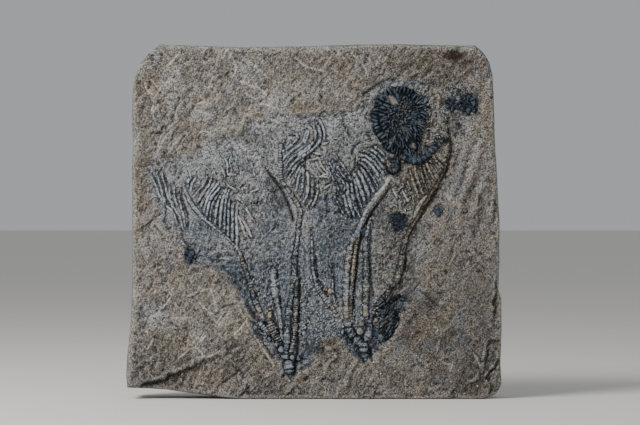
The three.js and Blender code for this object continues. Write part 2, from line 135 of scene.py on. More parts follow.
def smooth(low, high, value):
    """0 below low, 1 above high and an eased change between them; low may be the greater."""
    t = np.clip((value - low) / (high - low), 0, 1)
    return t * t * (3 - 2 * t)


def spread(values, u):
    """Values that stand evenly along something, read at places from 0 to 1."""
    return np.interp(u, np.linspace(0, 1, len(values)), values)


def ridge(points, widths, heights, ring=0.0, cleft=0.35, tones=(0.0,), shade=(0.0,), wear=0.2,
          seed=1, step=0.35, groove=0.3, square=0.7, fade=0.0):
    """A half-buried rounded ridge along a route, ringed where a ring length is given.

    Its far end sinks into the bed over the last fade millimetres.
    """
    line = route(points, step)
    u = np.linspace(0, 1, len(line))
    way = np.gradient(line, axis=0)
    way /= np.hypot(way[:, 0], way[:, 1])[:, None]
    reach = np.concatenate([[0], np.cumsum(np.hypot(*np.diff(line, axis=0).T))])
    half, rise = spread(widths, u) / 2, spread(heights, u)
    to_end = np.clip(np.minimum(reach, reach[-1] - reach) / np.maximum(half, 0.3), 0, 1)
    end = 0.3 + 0.7 * np.sqrt(1 - (1 - to_end) ** 2)
    stands = smooth(-0.3 * fade, fade, reach[-1] - reach) if fade else np.ones(len(line))
    cut = np.zeros(len(line))
    size = np.ones(len(line))
    dull = np.zeros(len(line))
    if ring:
        place = reach / ring
        number = np.floor(place)
        depth = 0.45 + 0.75 * scatter(number, number * 0, seed + 5)
        cut = np.exp(-((place - number - 0.5) / 0.2) ** 2) * depth
        size = 0.86 + 0.24 * scatter(number, number * 0, seed)
        dull = 0.4 * (scatter(number, number * 0, seed + 7) - 0.5)
    arch_spots = 13
    turn = np.linspace(0, np.pi, arch_spots)
    side, up = np.cos(turn), np.sin(turn) ** square
    ragged = 1 + 0.16 * rough(line[:, 0], line[:, 1], 3.0, 2, seed + 20)
    across = (half * end * size * ragged * (1 - 0.3 * cleft * cut))[:, None] * side
    x = line[:, :1] - way[:, 1:] * across
    z = line[:, 1:] + way[:, :1] * across
    lift = (rise * stands * end * size * (1 - cleft * cut))[:, None] * up
    coarse, fine = rough(x, z, 2.2, 2, seed + 50), rough(x, z, 0.9, 2, seed + 60)
    lift = lift * (1 + wear * coarse) + wear * 0.5 * up * fine
    lift = np.minimum(lift, tallest)
    feet = np.ones((len(line), 1)) * sunk
    x = np.hstack([x, x[:, -1:], x[:, :1]])
    z = np.hstack([z, z[:, -1:], z[:, :1]])
    y = bed_y + np.hstack([-lift, feet, feet])
    count = x.shape[1]
    # Brightest along the top as painted highlight, partly wear, and dipping as painted shade in the ring
    # clefts.
    crest_wear_and_painted_light = np.sin(turn) ** 1.5 * ((1 - 0.6 * cut * min(1, cleft * 2.2)) * (0.3 + 0.7 * stands))[:, None]
    crest_wear_and_painted_light = np.hstack([crest_wear_and_painted_light, feet * 0, feet * 0])
    spots = np.arange(len(line) * count).reshape(len(line), count)
    after = np.roll(spots, -1, axis=1)
    quads = np.stack([spots[:-1], after[:-1], after[1:], spots[1:]], 2).reshape(-1, 4)
    creases.append((line[::4] if len(line) > 8 else line, widths, groove))
    return {
        "points": np.stack([x, y, z], 2).reshape(-1, 3),
        "faces": quads.tolist() + [spots[0][::-1].tolist(), spots[-1].tolist()],
        "crest_wear_and_painted_light": crest_wear_and_painted_light.ravel(),
        "tone": (spread(tones, u)[:, None] * np.ones(count)).ravel(),
        "shade": ((spread(shade, u) + dull)[:, None] * np.ones(count)).ravel(),
    }


def linear(hex_colour):
    """A colour in sRGB hex as the linear values that a shader takes."""
    parts = [int(hex_colour[i:i + 2], 16) / 255 for i in (1, 3, 5)]
    return tuple(c / 12.92 if c <= 0.04045 else ((c + 0.055) / 1.055) ** 2.4 for c in parts) + (1.0,)


def add(tree, kind, settings=(), inputs=()):
    """Add a node with its settings, and fill or link its inputs."""
    node = tree.nodes.new(kind)
    for name, value in dict(settings).items():
        setattr(node, name, value)
    for name, value in dict(inputs).items():
        if isinstance(value, bpy.types.NodeSocket):
            tree.links.new(value, node.inputs[name])
        else:
            node.inputs[name].default_value = value
    return node


def fossil_calcite(name, top, top_brown, low, low_brown, roughness, film):
    """Calcite that replaced a skeleton: worn pale with painted highlight on crests, clay and painted shade in
    clefts.

    The grit is about 0.9 mm and the film of mud left on it is in patches of 3 mm. Real grit is
    finer than 0.2 mm, and is drawn coarse enough to show at arm's length.
    """
    material = bpy.data.materials.new(name)
    material.use_nodes = True
    tree = material.node_tree
    shader = tree.nodes["Principled BSDF"]
    place = add(tree, "ShaderNodeTexCoord").outputs["Object"]
    crest_wear_and_painted_light = add(tree, "ShaderNodeAttribute", {"attribute_name": "crest_wear_and_painted_light"}).outputs["Fac"]
    tone = add(tree, "ShaderNodeAttribute", {"attribute_name": "tone"}).outputs["Fac"]
    shade = add(tree, "ShaderNodeAttribute", {"attribute_name": "shade"}).outputs["Fac"]
    grit_size, patch_size = 0.9 * MM, 3 * MM
    grit = add(tree, "ShaderNodeTexNoise", {}, {
        "Vector": place, "Scale": 1 / grit_size, "Detail": 4.0, "Roughness": 0.7}).outputs["Fac"]
    cloud = add(tree, "ShaderNodeTexNoise", {}, {
        "Vector": place, "Scale": 1 / patch_size, "Detail": 4.0}).outputs["Fac"]
    wander = add(tree, "ShaderNodeMapRange", {}, {
        "Value": cloud, "From Min": 0.3, "From Max": 0.7, "To Min": -0.25, "To Max": 0.25}).outputs[0]
    mixed_tone = add(tree, "ShaderNodeMath", {"operation": "ADD", "use_clamp": True}, {
        0: tone, 1: wander}).outputs[0]
    high = add(tree, "ShaderNodeMix", {"data_type": "RGBA"}, {
        0: mixed_tone, 6: linear(top), 7: linear(top_brown)}).outputs[2]
    deep = add(tree, "ShaderNodeMix", {"data_type": "RGBA"}, {
        0: mixed_tone, 6: linear(low), 7: linear(low_brown)}).outputs[2]
    speck = add(tree, "ShaderNodeMapRange", {}, {
        "Value": grit, "From Min": 0.36, "From Max": 0.64, "To Min": -0.55, "To Max": 0.5}).outputs[0]
    # Pale crests are partly wear and partly painted highlight; low crest values give painted shade.
    worn_and_lit = add(tree, "ShaderNodeMath", {"operation": "ADD"}, {0: crest_wear_and_painted_light, 1: speck}).outputs[0]
    dulled = add(tree, "ShaderNodeMath", {"operation": "SUBTRACT"}, {0: worn_and_lit, 1: shade}).outputs[0]
    bare_and_lit = add(tree, "ShaderNodeMapRange", {"interpolation_type": "SMOOTHSTEP"}, {
        "Value": dulled, "From Min": 0.15, "From Max": 1.25}).outputs[0]
    colour = add(tree, "ShaderNodeMix", {"data_type": "RGBA"}, {0: bare_and_lit, 6: deep, 7: high}).outputs[2]
    muddy = add(tree, "ShaderNodeMapRange", {}, {
        "Value": cloud, "From Min": 0.5, "From Max": 0.66, "To Max": film}).outputs[0]
    muddy_high = add(tree, "ShaderNodeMath", {"operation": "MULTIPLY"}, {0: muddy, 1: bare_and_lit}).outputs[0]
    colour = add(tree, "ShaderNodeMix", {"data_type": "RGBA"}, {
        0: muddy_high, 6: colour, 7: linear("#6c7278")}).outputs[2]
    bump = add(tree, "ShaderNodeBump", {}, {"Height": grit, "Strength": 0.9, "Distance": 0.6 * MM})
    tree.links.new(colour, shader.inputs["Base Color"])
    tree.links.new(bump.outputs["Normal"], shader.inputs["Normal"])
    shader.inputs["Roughness"].default_value = roughness
    shader.inputs["IOR"].default_value = 1.49
    shader.inputs["Specular IOR Level"].default_value = 0.2
    return material


def piece(name, parts, material, slot, *nodes):
    """One mesh from several closed parts, riding on the slab and standing for its CAD nodes."""
    starts = np.cumsum([0] + [len(part["points"]) for part in parts])
    faces = [[spot + start for spot in face] for part, start in zip(parts, starts) for face in part["faces"]]
    mesh = bpy.data.meshes.new(name)
    mesh.from_pydata((np.vstack([part["points"] for part in parts]) * MM).tolist(), [], faces)
    for field in parts[0]:
        if field not in ("points", "faces"):
            values = np.concatenate([part[field] for part in parts])
            mesh.attributes.new(field, "FLOAT", "POINT").data.foreach_set("value", values)
    mesh.materials.append(material)
    mesh.shade_smooth()
    thing = bpy.data.objects.new(name, mesh)
    bpy.context.scene.collection.objects.link(thing)
    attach(thing, "root")
    if nodes:
        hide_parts(*nodes)
    return thing


# Dense calcite, rubbed by hands: slate blue with a faint sheen and painted highlight on its crests, near
# black in its joints.
dark_calcite = fossil_calcite("dark_calcite", "#97a6b7", "#938a79", "#0d141d", "#14120f", 0.6, 0.15)


def plate(corners, height, tone=0.1, shade=0.0, seed=1, square=0.4, rounding=2, groove=0.45, rugged=0.16):
    """A cushion-shaped plate with steep sides, from its corners in order."""
    edge = np.array(corners, float)
    corner_cut = 0.22
    for _ in range(rounding):
        after = np.roll(edge, -1, axis=0)
        near_corner = (1 - corner_cut) * edge + corner_cut * after
        far_corner = corner_cut * edge + (1 - corner_cut) * after
        edge = np.stack([near_corner, far_corner], 1).reshape(-1, 2)
    line = np.vstack([edge, edge[:1]])
    reach = np.concatenate([[0], np.cumsum(np.hypot(*np.diff(line, axis=0).T))])
    sides, rings = 36, 10
    spots = np.linspace(0, reach[-1], sides, endpoint=False)
    edge = np.stack([np.interp(spots, reach, line[:, 0]), np.interp(spots, reach, line[:, 1])], 1)
    middle = edge.mean(0)
    out = np.linspace(0, 1, rings)[:, None]
    px = middle[0] + (edge[:, 0] - middle[0]) * out
    pz = middle[1] + (edge[:, 1] - middle[1]) * out
    lift = height * (1 - out ** 3.2) ** square * (1 + rugged * rough(px, pz, 1.8, 3, seed))
    lift = np.minimum(lift, tallest)
    px, pz = np.vstack([px, px[-1:]]), np.vstack([pz, pz[-1:]])
    py = bed_y - np.vstack([lift, -np.ones((1, sides)) * sunk])
    index = np.arange((rings + 1) * sides).reshape(rings + 1, sides)[1:]
    beside = np.roll(index, -1, axis=1)
    quads = np.stack([index[:-1], index[1:], beside[1:], beside[:-1]], 2).reshape(-1, 4)
    fan_in = [[0, int(a), int(b)] for a, b in zip(index[0], beside[0])]
    # Painted highlight in the middle of the plate, fading to painted shade at its rim.
    crest_wear_and_painted_light = np.vstack([(1 - out ** 4) * np.ones(sides), np.zeros((1, sides))])
    creases.append((np.vstack([edge, edge[:1]])[::3], [0.2], groove))
    facing = 1 if np.cross(edge[0] - middle, edge[3] - middle) > 0 else -1
    faces = quads.tolist() + fan_in + [index[-1][::-1].tolist()]
    return {
        "points": np.stack([px, py, pz], 2).reshape(-1, 3),
        "faces": [face[::facing] for face in faces],
        "crest_wear_and_painted_light": crest_wear_and_painted_light.ravel(),
        "tone": np.full(crest_wear_and_painted_light.size, tone),
        "shade": np.full(crest_wear_and_painted_light.size, shade),
    }


def oval(x, z, radius_x, radius_z, lean=0.0, wobble=0.0, seed=1):
    """Corners round an oval, turned by lean degrees and made uneven by wobble."""
    count = 12
    turn = np.linspace(0, 2 * np.pi, count, endpoint=False)
    uneven = 1 + wobble * (scatter(np.arange(count), np.zeros(count), seed) - 0.5)
    right, up = radius_x * uneven * np.cos(turn), radius_z * uneven * np.sin(turn)
    tilt = math.radians(lean)
    return np.stack([x + right * math.cos(tilt) - up * math.sin(tilt),
                     z + right * math.sin(tilt) + up * math.cos(tilt)], 1)


piece("left_cup_plates", [
    ridge([(-12.6, 11.9), (-13, 15), (-13.4, 18), (-13.5, 20.6)], [4.4, 5.6, 6.2, 5.6],
          [1.6, 2.2, 2.4, 2.1], ring=2.7, cleft=0.4, tones=(0.1, 0.3), shade=(0.25, 0.05, 0.0), wear=0.35,
          seed=3, step=0.2, square=0.5),
    plate([(-17.8, 21.6), (-15, 21.2), (-13, 21.2), (-13.2, 23.8), (-15.2, 23.9), (-17.4, 23.8)], 1.7,
          seed=5, rounding=1),
    plate([(-12.8, 21), (-10.2, 20.6), (-9.9, 22.6), (-10.6, 23.8), (-12.8, 23.6)], 1.9, tone=0.7,
          shade=-0.15, seed=4, rounding=1),
    plate([(-9.6, 20.2), (-7, 20.4), (-6, 22), (-8, 23.4), (-9.8, 22.8)], 1.0, shade=0.35, seed=6,
          rugged=0.4),
    plate([(-18.6, 24.4), (-16, 24.2), (-15.6, 27.4), (-17.4, 29), (-19.4, 27)], 1.5, shade=0.1, seed=7,
          rounding=1),
    plate([(-21.8, 28.8), (-19.6, 27.4), (-18.4, 29.2), (-20, 30.8)], 1.5, tone=0.7, shade=-0.1, seed=8,
          rounding=1, rugged=0.4),
    plate([(-25.4, 31.6), (-23.4, 30.2), (-22, 32), (-24, 33.8)], 1.3, shade=0.1, seed=9, rounding=1,
          rugged=0.4),
    plate([(-22.8, 33.4), (-21.4, 32.4), (-20.8, 34), (-22, 35)], 1.1, tone=0.4, shade=0.1, seed=10,
          rounding=1),
], dark_calcite, "dark_fossil", "left_cup")

# ---- The long arm of the left sea lily, with its fan ----
# The real arm is a column of thin calcite discs, and each side branch is a finer column that left
# it on one side. They were pressed flat in mud, so the branches lie like the ribs of a fan.
# Its finish is the same calcite, paler and with a film of dried mud.
blue_calcite = fossil_calcite("blue_grey_calcite", "#b3c0ce", "#bab09c", "#1a232d", "#231f19", 0.8, 0.7)
branch_width = 1.9
branch_height = 1.05
disc_length = 1.45


def fan(paths, seed, tones=(0.15, 0.25), width=branch_width, height=branch_height, shade=(0.0,)):
    """The side branches of an arm, each from its root on the arm to its tip, and no two alike."""
    branches = []
    for i, path in enumerate(paths):
        wide, tall, dim, brown = scatter(np.full(4, seed + i), np.arange(4), 3)
        wide, tall = width * (0.84 + 0.3 * wide), height * (0.7 + 0.5 * tall)
        branches.append(ridge(
            path, [wide * 0.75, wide, wide * 0.95, wide * 0.85],
            [tall * 0.6, tall, tall * 0.95, tall * 0.7], ring=1.3, cleft=0.1,
            tones=[tone + 0.35 * (brown - 0.5) for tone in tones],
            shade=[dull + 0.4 * (dim - 0.45) for dull in shade], wear=0.45, seed=seed + i, step=0.4,
            groove=0.7, fade=2.2))
    return branches


piece("left_long_arm_column", [
    ridge([(-17.6, 28.6), (-19, 31.6), (-20.6, 34.6), (-22.2, 38), (-23.6, 41.6)], [3.8, 5.2, 5.8, 5],
          [1.5, 1.75, 1.75, 1.6], ring=1.35, cleft=0.8, tones=(0.1, 0.3, 0.5, 0.7), shade=(0.35, 0.3, 0.2),
          wear=0.25, seed=11, step=0.2, groove=0.5),
    ridge([(-23.6, 42), (-23.4, 45), (-23.2, 48.4)], [3, 3.2, 2.6], [1.3, 1.4, 1.0], ring=1.9, cleft=0.4,
          tones=(0.9, 1.0), shade=(0.1,), wear=0.6, seed=12, step=0.25, groove=0.1),
    ridge([(-26.6, 42.4), (-28.2, 45.6), (-30.8, 51), (-33.2, 58), (-35.4, 66)], [3, 3.4, 3.6, 3.6, 3.4],
          [1.2, 0.9, 0.7, 0.65, 0.6], ring=1.6, cleft=0.3, tones=(0.9, 0.5, 0.2, 0.3),
          shade=(0.1, 0.35, 0.4), wear=0.8, seed=13, groove=0.1),
    ridge([(-35.2, 65), (-37.4, 72.4), (-40, 79), (-44, 84)], [3.2, 3.2, 2.8, 2.2], [0.6, 1.0, 0.9, 0.7],
          ring=1.6, cleft=0.4, tones=(0.4, 0.6, 0.4), shade=(0.3, 0.15, 0.3), wear=0.8, seed=14,
          groove=0.1),
    ridge([(-40.4, 79.6), (-46.6, 86.4), (-53, 91.4), (-60, 97.6), (-65.4, 104.4), (-68.4, 111),
           (-69.4, 115.4)], [1.2, 1.4, 1.6, 2.6, 3.4, 2.6, 1.6], [0.6, 0.6, 0.55, 0.6, 0.7, 0.6, 0.4],
          tones=(0.3, 0.2, 0.3, 0.2), shade=(0.2, 0.2, 0.15, 0.1), wear=0.4, seed=15, groove=0.0,
          square=0.9),
    ridge([(-29, 40.6), (-26.4, 37.6), (-24.4, 35)], [3.4, 3.4, 2.6], [0.9, 1.2, 1.0], ring=1.4, cleft=0.7,
          tones=(0.1,), shade=(0.15,), wear=0.35, seed=16, step=0.2, groove=0.6),
] + fan([
    [(-66.9, 112.5), (-66.8, 116), (-65, 118.6)],
    [(-65.6, 110), (-65, 114), (-63.2, 117), (-62, 118.8)],
    [(-64.2, 107.2), (-61.6, 110.9), (-58.8, 114), (-57.4, 117), (-56.8, 119.8)],
    [(-62, 104.4), (-59.7, 108.5), (-56.8, 112.6), (-55, 115.8), (-54.2, 119)],
    [(-60.4, 102), (-58.5, 106.4), (-55.8, 110.8), (-53.5, 114.4), (-52.2, 117.4)],
    [(-58.6, 99.6), (-57.5, 104), (-56, 107.8), (-53.8, 111), (-51.3, 114.4), (-50.6, 116.4)],
    [(-57, 97.4), (-56.2, 101.6), (-55.2, 105.6), (-53.3, 108.8), (-50.8, 111.8), (-49.4, 113.8)],
    [(-55.2, 95), (-54.8, 99.6), (-53.8, 103.8), (-52, 107.2), (-49.8, 110), (-48, 112.6)],
    [(-52.5, 93), (-52.3, 97.6), (-51.6, 102), (-50.7, 105.5), (-49.2, 108.8), (-47.4, 112)],
    [(-50, 91), (-49.8, 95.6), (-49.4, 100), (-48.8, 104.5), (-47.7, 108.5), (-46.2, 112.4)],
    [(-47.7, 89), (-47.5, 94.6), (-47.3, 100), (-46.9, 105), (-45.9, 109.3), (-44.6, 112.4)],
    [(-45.6, 86.6), (-45.6, 91.6), (-45.4, 97), (-45.3, 102), (-44.7, 107.4)],
    [(-43.3, 83.6), (-43.2, 89), (-43.1, 94), (-43.3, 99), (-43, 104.6)],
    [(-41, 80.6), (-40.8, 86), (-40.9, 91), (-41.2, 96), (-41, 101)],
], 100) + fan([
    [(-36.2, 86), (-37.6, 90.6), (-39.2, 95.2), (-41, 98.6)],
    [(-33, 86), (-35.4, 90.4), (-37.4, 95), (-38, 99)],
    [(-30, 93), (-33.2, 96.6), (-35.2, 100), (-36.4, 103)], [(-34, 89.6), (-37, 94), (-39.6, 97)],
], 120, tones=(0.6, 0.5), shade=(-0.15,)) + fan([
    [(-48, 115), (-47.4, 118.6), (-48.6, 122), (-50.4, 125.4)],
    [(-46, 119), (-45.9, 122.4), (-46.4, 126.4), (-48.4, 129.2), (-50.6, 131.4)],
    [(-43.6, 120), (-43.9, 123.4), (-44.8, 126.4), (-43.9, 129.8), (-45.6, 133)],
    [(-41.4, 121), (-41.9, 124.4), (-41.2, 127.6), (-41.7, 130.4), (-43.4, 133.4)],
    [(-38.6, 119.6), (-39.2, 123), (-38.4, 126.2), (-39.5, 129.4)],
    [(-34.4, 121.4), (-35.4, 125.2), (-36, 128.8), (-38, 131.6)],
    [(-31.4, 118.4), (-32.4, 122.4), (-33.6, 126.2)], [(-29.4, 116), (-30.4, 119.4), (-30, 122.6)],
    [(-55, 121), (-57.4, 123.6), (-60.6, 124.4)], [(-52.4, 119.4), (-53.6, 122.6), (-56, 125.6)],
], 140, width=1.3, height=0.6, shade=(-0.05, 0.0)), blue_calcite, "blue_grey_fossil", "left_long_arm")

# ---- The short arm of the left sea lily ----
# The real arm is the same kind of column with its discs worn smooth. It was snapped off at half
# height before the mud set, and ends in a small step.
piece("left_middle_arm_column", [
    ridge([(-16.8, 30.4), (-17.3, 36), (-18, 42), (-19.2, 49.6), (-20.8, 57), (-21.6, 64), (-22, 70.4)],
          [1.8, 2.2, 2.8, 3.6, 4.4, 4.4, 4.6], [1.2, 1.3, 1.2, 1.1, 1.0, 0.95, 0.95], ring=disc_length,
          cleft=0.05, tones=(0.4, 0.4, 0.3, 0.2, 0.1), shade=(0.15, 0.15, 0.2), wear=0.35, seed=21,
          groove=0.1),
], blue_calcite, "blue_grey_fossil", "left_middle_arm")

# ---- The tall arm of the left sea lily, with its fan ----
# The real arm is two columns that lie side by side: a beaded pale one and a sharply ringed one.
# They run on as one worn edge, and the fan's branches curl over at its tip.
piece("left_tall_arm_column", [
    ridge([(-14.9, 24.2), (-14.5, 29), (-14.4, 34), (-13.9, 40), (-13.2, 48), (-12, 55), (-11.4, 62),
           (-11, 68)], [3.4, 4, 4.2, 4.2, 3.8, 3, 2.4, 2], [1.4, 1.6, 1.4, 1.3, 1.3, 1.2, 1.0, 0.7],
          ring=1.15, cleft=0.25, tones=(0.2, 0.15, 0.1, 0.1, 0.1, 0.5, 0.5),
          shade=(0.2, 0.2, 0.25, 0.2, 0.2), wear=0.8, seed=31, step=0.2, groove=0.1),
    ridge([(-12.1, 24.2), (-11.4, 29), (-10.3, 34.4), (-9.8, 42), (-9.6, 50), (-9.2, 57), (-9, 65)],
          [3, 3, 3, 3, 3.2, 3, 2.6], [1.5, 1.6, 1.5, 1.75, 1.75, 1.4, 0.8], ring=1.15, cleft=0.4,
          tones=(0.2, 0.6, 0.7, 0.4, 0.5, 0.3), shade=(0.2, 0.2, 0.2, 0.3, 0.4, 0.1), wear=0.8, seed=32,
          step=0.2, groove=0.2),
    ridge([(-10.2, 62), (-10.4, 69), (-10, 77), (-8.4, 87.4), (-7.8, 96.4)], [4, 4, 3.6, 3.4, 3],
          [0.9, 0.65, 0.55, 0.55, 0.8], ring=1.5, cleft=0.1, tones=(0.4, 0.2, 0.1, 0.2, 0.5),
          shade=(0.25, 0.35, 0.35, 0.3, 0.15), wear=0.7, seed=33, square=1.0, groove=0.0),
    ridge([(-7.6, 94), (-7.4, 100), (-9.4, 105), (-13, 110.4), (-16.4, 115.4)], [2.6, 3, 3, 2.8, 2.4],
          [0.9, 1.3, 1.5, 1.4, 1.3], ring=1.5, cleft=0.4, tones=(0.3, 0.6, 0.4), shade=(0.1,), wear=0.9,
          seed=34, groove=0.1),
    ridge([(-16, 113.6), (-17.4, 118), (-17.6, 123), (-18, 128), (-17.6, 134), (-15.4, 138.6)],
          [2.6, 2.4, 2.6, 2.4, 2, 1.8], [1.5, 1.4, 1.3, 1.2, 1.0, 0.7], ring=1.3, cleft=0.5,
          tones=(0.6, 0.4, 0.4), wear=0.5, seed=35, step=0.2),
] + fan([
    [(-17, 131.6), (-14, 133.6), (-10.8, 136.4), (-8.6, 139), (-9.4, 141), (-12, 141)],
    [(-16.5, 127.2), (-14.3, 130), (-11.5, 132.4), (-8, 135), (-5.6, 137.6), (-4.2, 141), (-3.4, 144.4)],
    [(-15.6, 123.4), (-13.3, 126.8), (-10.6, 129.3), (-7, 131.2), (-3.7, 133.6), (-1, 135.8), (0.6, 138.6),
     (0.9, 142), (0, 144.6), (-2, 147)],
    [(-14.6, 119.8), (-12.4, 123.4), (-10.4, 126.1), (-8, 128), (-4.6, 130), (-1.8, 132), (0.8, 134.2),
     (2.8, 137), (3.5, 140.4), (3, 143.6), (1.4, 146.8)],
    [(-13.6, 117.2), (-11.8, 120.4), (-10.1, 123.3), (-8.3, 125.6), (-6, 127.4), (-4, 128.4)],
    [(-11.9, 113.6), (-10.3, 117), (-9.2, 120), (-7.9, 122.6), (-6.1, 125), (-4.3, 126.6)],
    [(-9.9, 110.2), (-8.8, 114), (-8.1, 118), (-7, 121.2), (-5.6, 124)],
    [(-7.9, 107.4), (-6.4, 111.5), (-5.9, 116), (-5.6, 120.5), (-5.1, 123.5)],
    [(5.6, 137.8), (5.6, 142), (4.6, 145.6), (2.6, 149)],
], 200) + fan([
    [(-6, 104), (-3.7, 108.5), (-3.2, 113), (-3.1, 118), (-3.6, 122)],
    [(-4.2, 101), (-1.4, 106.5), (-0.7, 111), (-0.6, 116), (-1, 119.6)],
    [(-1, 102), (1.4, 108), (2, 112.6), (2, 116.6)],
], 220, tones=(0.4, 0.5)), blue_calcite, "blue_grey_fossil", "left_tall_arm")

# ---- The thin arm at the far left ----
# The real arm is a few fine columns of calcite discs that branch from one spot. They are worn
# almost level with the bed, so only their pale edges stand out.
piece("left_far_arm_branches", [
    ridge(path, [1.2, 1.7, 1.7, 1.2], [0.6, 0.9, 0.9, 0.5], ring=1.3, cleft=0.08, tones=(0.15, 0.35),
          shade=(0.0, 0.1), wear=0.5, seed=60 + i, groove=0.5, fade=3)
    for i, path in enumerate([
        [(-69.6, 90), (-71, 96.4), (-74.4, 101.6), (-76.6, 105.6), (-78, 109.6), (-79, 113.6), (-80.4, 118),
         (-80.2, 121.6)],
        [(-72.6, 93), (-75, 99.6), (-78.4, 103), (-80, 107), (-81, 111), (-82.2, 115.4), (-83.4, 119),
         (-83.4, 122.4)],
        [(-79.4, 103), (-82, 108), (-84, 113.4), (-86, 117.6), (-87.2, 121.4)],
        [(-74.6, 103), (-76.2, 106.6), (-76.8, 110), (-76.4, 114)],
        [(-72.6, 102.6), (-73.8, 107), (-74.4, 110.4), (-74, 113.8)],
        [(-68.8, 92.6), (-69.2, 97), (-70.4, 101.6), (-71.6, 107), (-72.2, 111.6)],
    ])
], blue_calcite, "pale_fossil", "left_far_arm")

# ---- The stub and plates of the right sea lily ----
# A dark stub carries two rows of thick plates that open like a V, with pale plates caught between
# them. The plates are solid calcite, and meet in deep dark joints.
piece("right_cup_plates", [
    ridge([(27.7, 20.2), (27, 22.6), (26.6, 25.4), (26.4, 28.4), (26.2, 31)], [3.2, 5.6, 6, 6.2, 4.6],
          [1.4, 2.0, 2.3, 2.45, 2.2], ring=3.0, cleft=0.45, tones=(0.1,), shade=(0.25, 0.15, 0.1),
          wear=0.15, step=0.2, groove=0.35, square=0.5),
    ridge([(24.8, 29.6), (22.6, 31.6), (20.4, 34), (18.8, 37), (18.3, 40.8)], [4.4, 5.6, 6.2, 6.2, 5.4],
          [2.1, 2.2, 2.2, 2.1, 1.5], ring=3.1, cleft=0.4, tones=(0.1, 0.1, 0.1, 0.4),
          shade=(0.15, 0.1, 0.15, -0.2), wear=0.15, seed=2, step=0.2, groove=0.35, square=0.5),
    ridge([(27.2, 30.4), (28.5, 33), (29.4, 36), (29.8, 39), (29.6, 42.2)], [3.4, 4.4, 4.6, 4.6, 4],
          [2.1, 2.1, 2.0, 1.9, 1.5], ring=1.9, tones=(0.2, 0.4, 0.1, 0.1), shade=(0.15, 0.0, 0.05, 0.1),
          wear=0.15, seed=3, step=0.2, groove=0.35, square=0.5),
    plate(oval(24.7, 36, 2.1, 2.3, 0, 0.3, 10), 1.6, tone=0.5, shade=-0.2, seed=10, rugged=0.5),
    plate(oval(25.4, 39.9, 1.5, 1.1, 0, 0.2, 11), 1.4, tone=0.6, shade=-0.3, seed=11, rugged=0.3),
] + [
    plate(corners, height, tone=tone, shade=shade, seed=seed, rounding=1, rugged=0.4)
    for corners, height, tone, shade, seed in [
        ([(26.2, 44), (28.8, 43.6), (29.6, 45.4), (28, 46.9), (26, 46)], 1.3, 0.9, -0.5, 12),
        ([(31.6, 41), (34, 40.8), (34.6, 42.8), (32.4, 43.6)], 1.2, 1.0, -0.4, 14),
        ([(26, 47.4), (28.2, 46.8), (28.8, 48.6), (27, 49.6)], 1.2, 0.8, -0.4, 15),
        ([(14.2, 34.6), (15.6, 33.8), (16.2, 37), (15, 37.8)], 1.1, 0.3, -0.1, 16),
    ]
], dark_calcite, "dark_fossil", "right_cup")

# ---- The thin arm of the right sea lily ----
# The real arm is a thin column of calcite discs that leans to the left, ringed where it is widest.
# A thread of finer discs branches from its foot, and both are pressed flat on the bed.
piece("right_thin_arm_column", [
    ridge([(12.6, 45), (8.4, 50.4), (4, 56.4), (0.6, 62)], [2.2, 3.4, 3.8, 2.8], [0.9, 1.1, 1.2, 1.1],
          ring=1.3, cleft=0.4, tones=(0.9, 0.5, 0.2), shade=(0.1,), wear=0.5, seed=71, step=0.25,
          groove=0.1),
    ridge([(1.2, 61), (-0.6, 70), (-1, 82), (-1.6, 92.2)], [2.6, 2, 1.8, 1.2], [1.0, 0.8, 0.7, 0.5],
          ring=1.3, cleft=0.12, tones=(0.2, 0.1, 0.1), shade=(0.2, 0.35), wear=0.6, seed=72, groove=0.1,
          fade=8),
    ridge([(12, 49), (10.6, 53.6), (10, 58), (10, 64.5), (9.8, 70.8)], [1.4, 1.5, 1.8, 1.6, 1.0],
          [0.9, 1.0, 0.9, 0.8, 0.5], ring=1.3, cleft=0.15, tones=(0.5, 0.1), shade=(0.15, 0.35), wear=0.6,
          seed=73, groove=0.1, fade=6),
], blue_calcite, "blue_grey_fossil", "right_thin_arm")

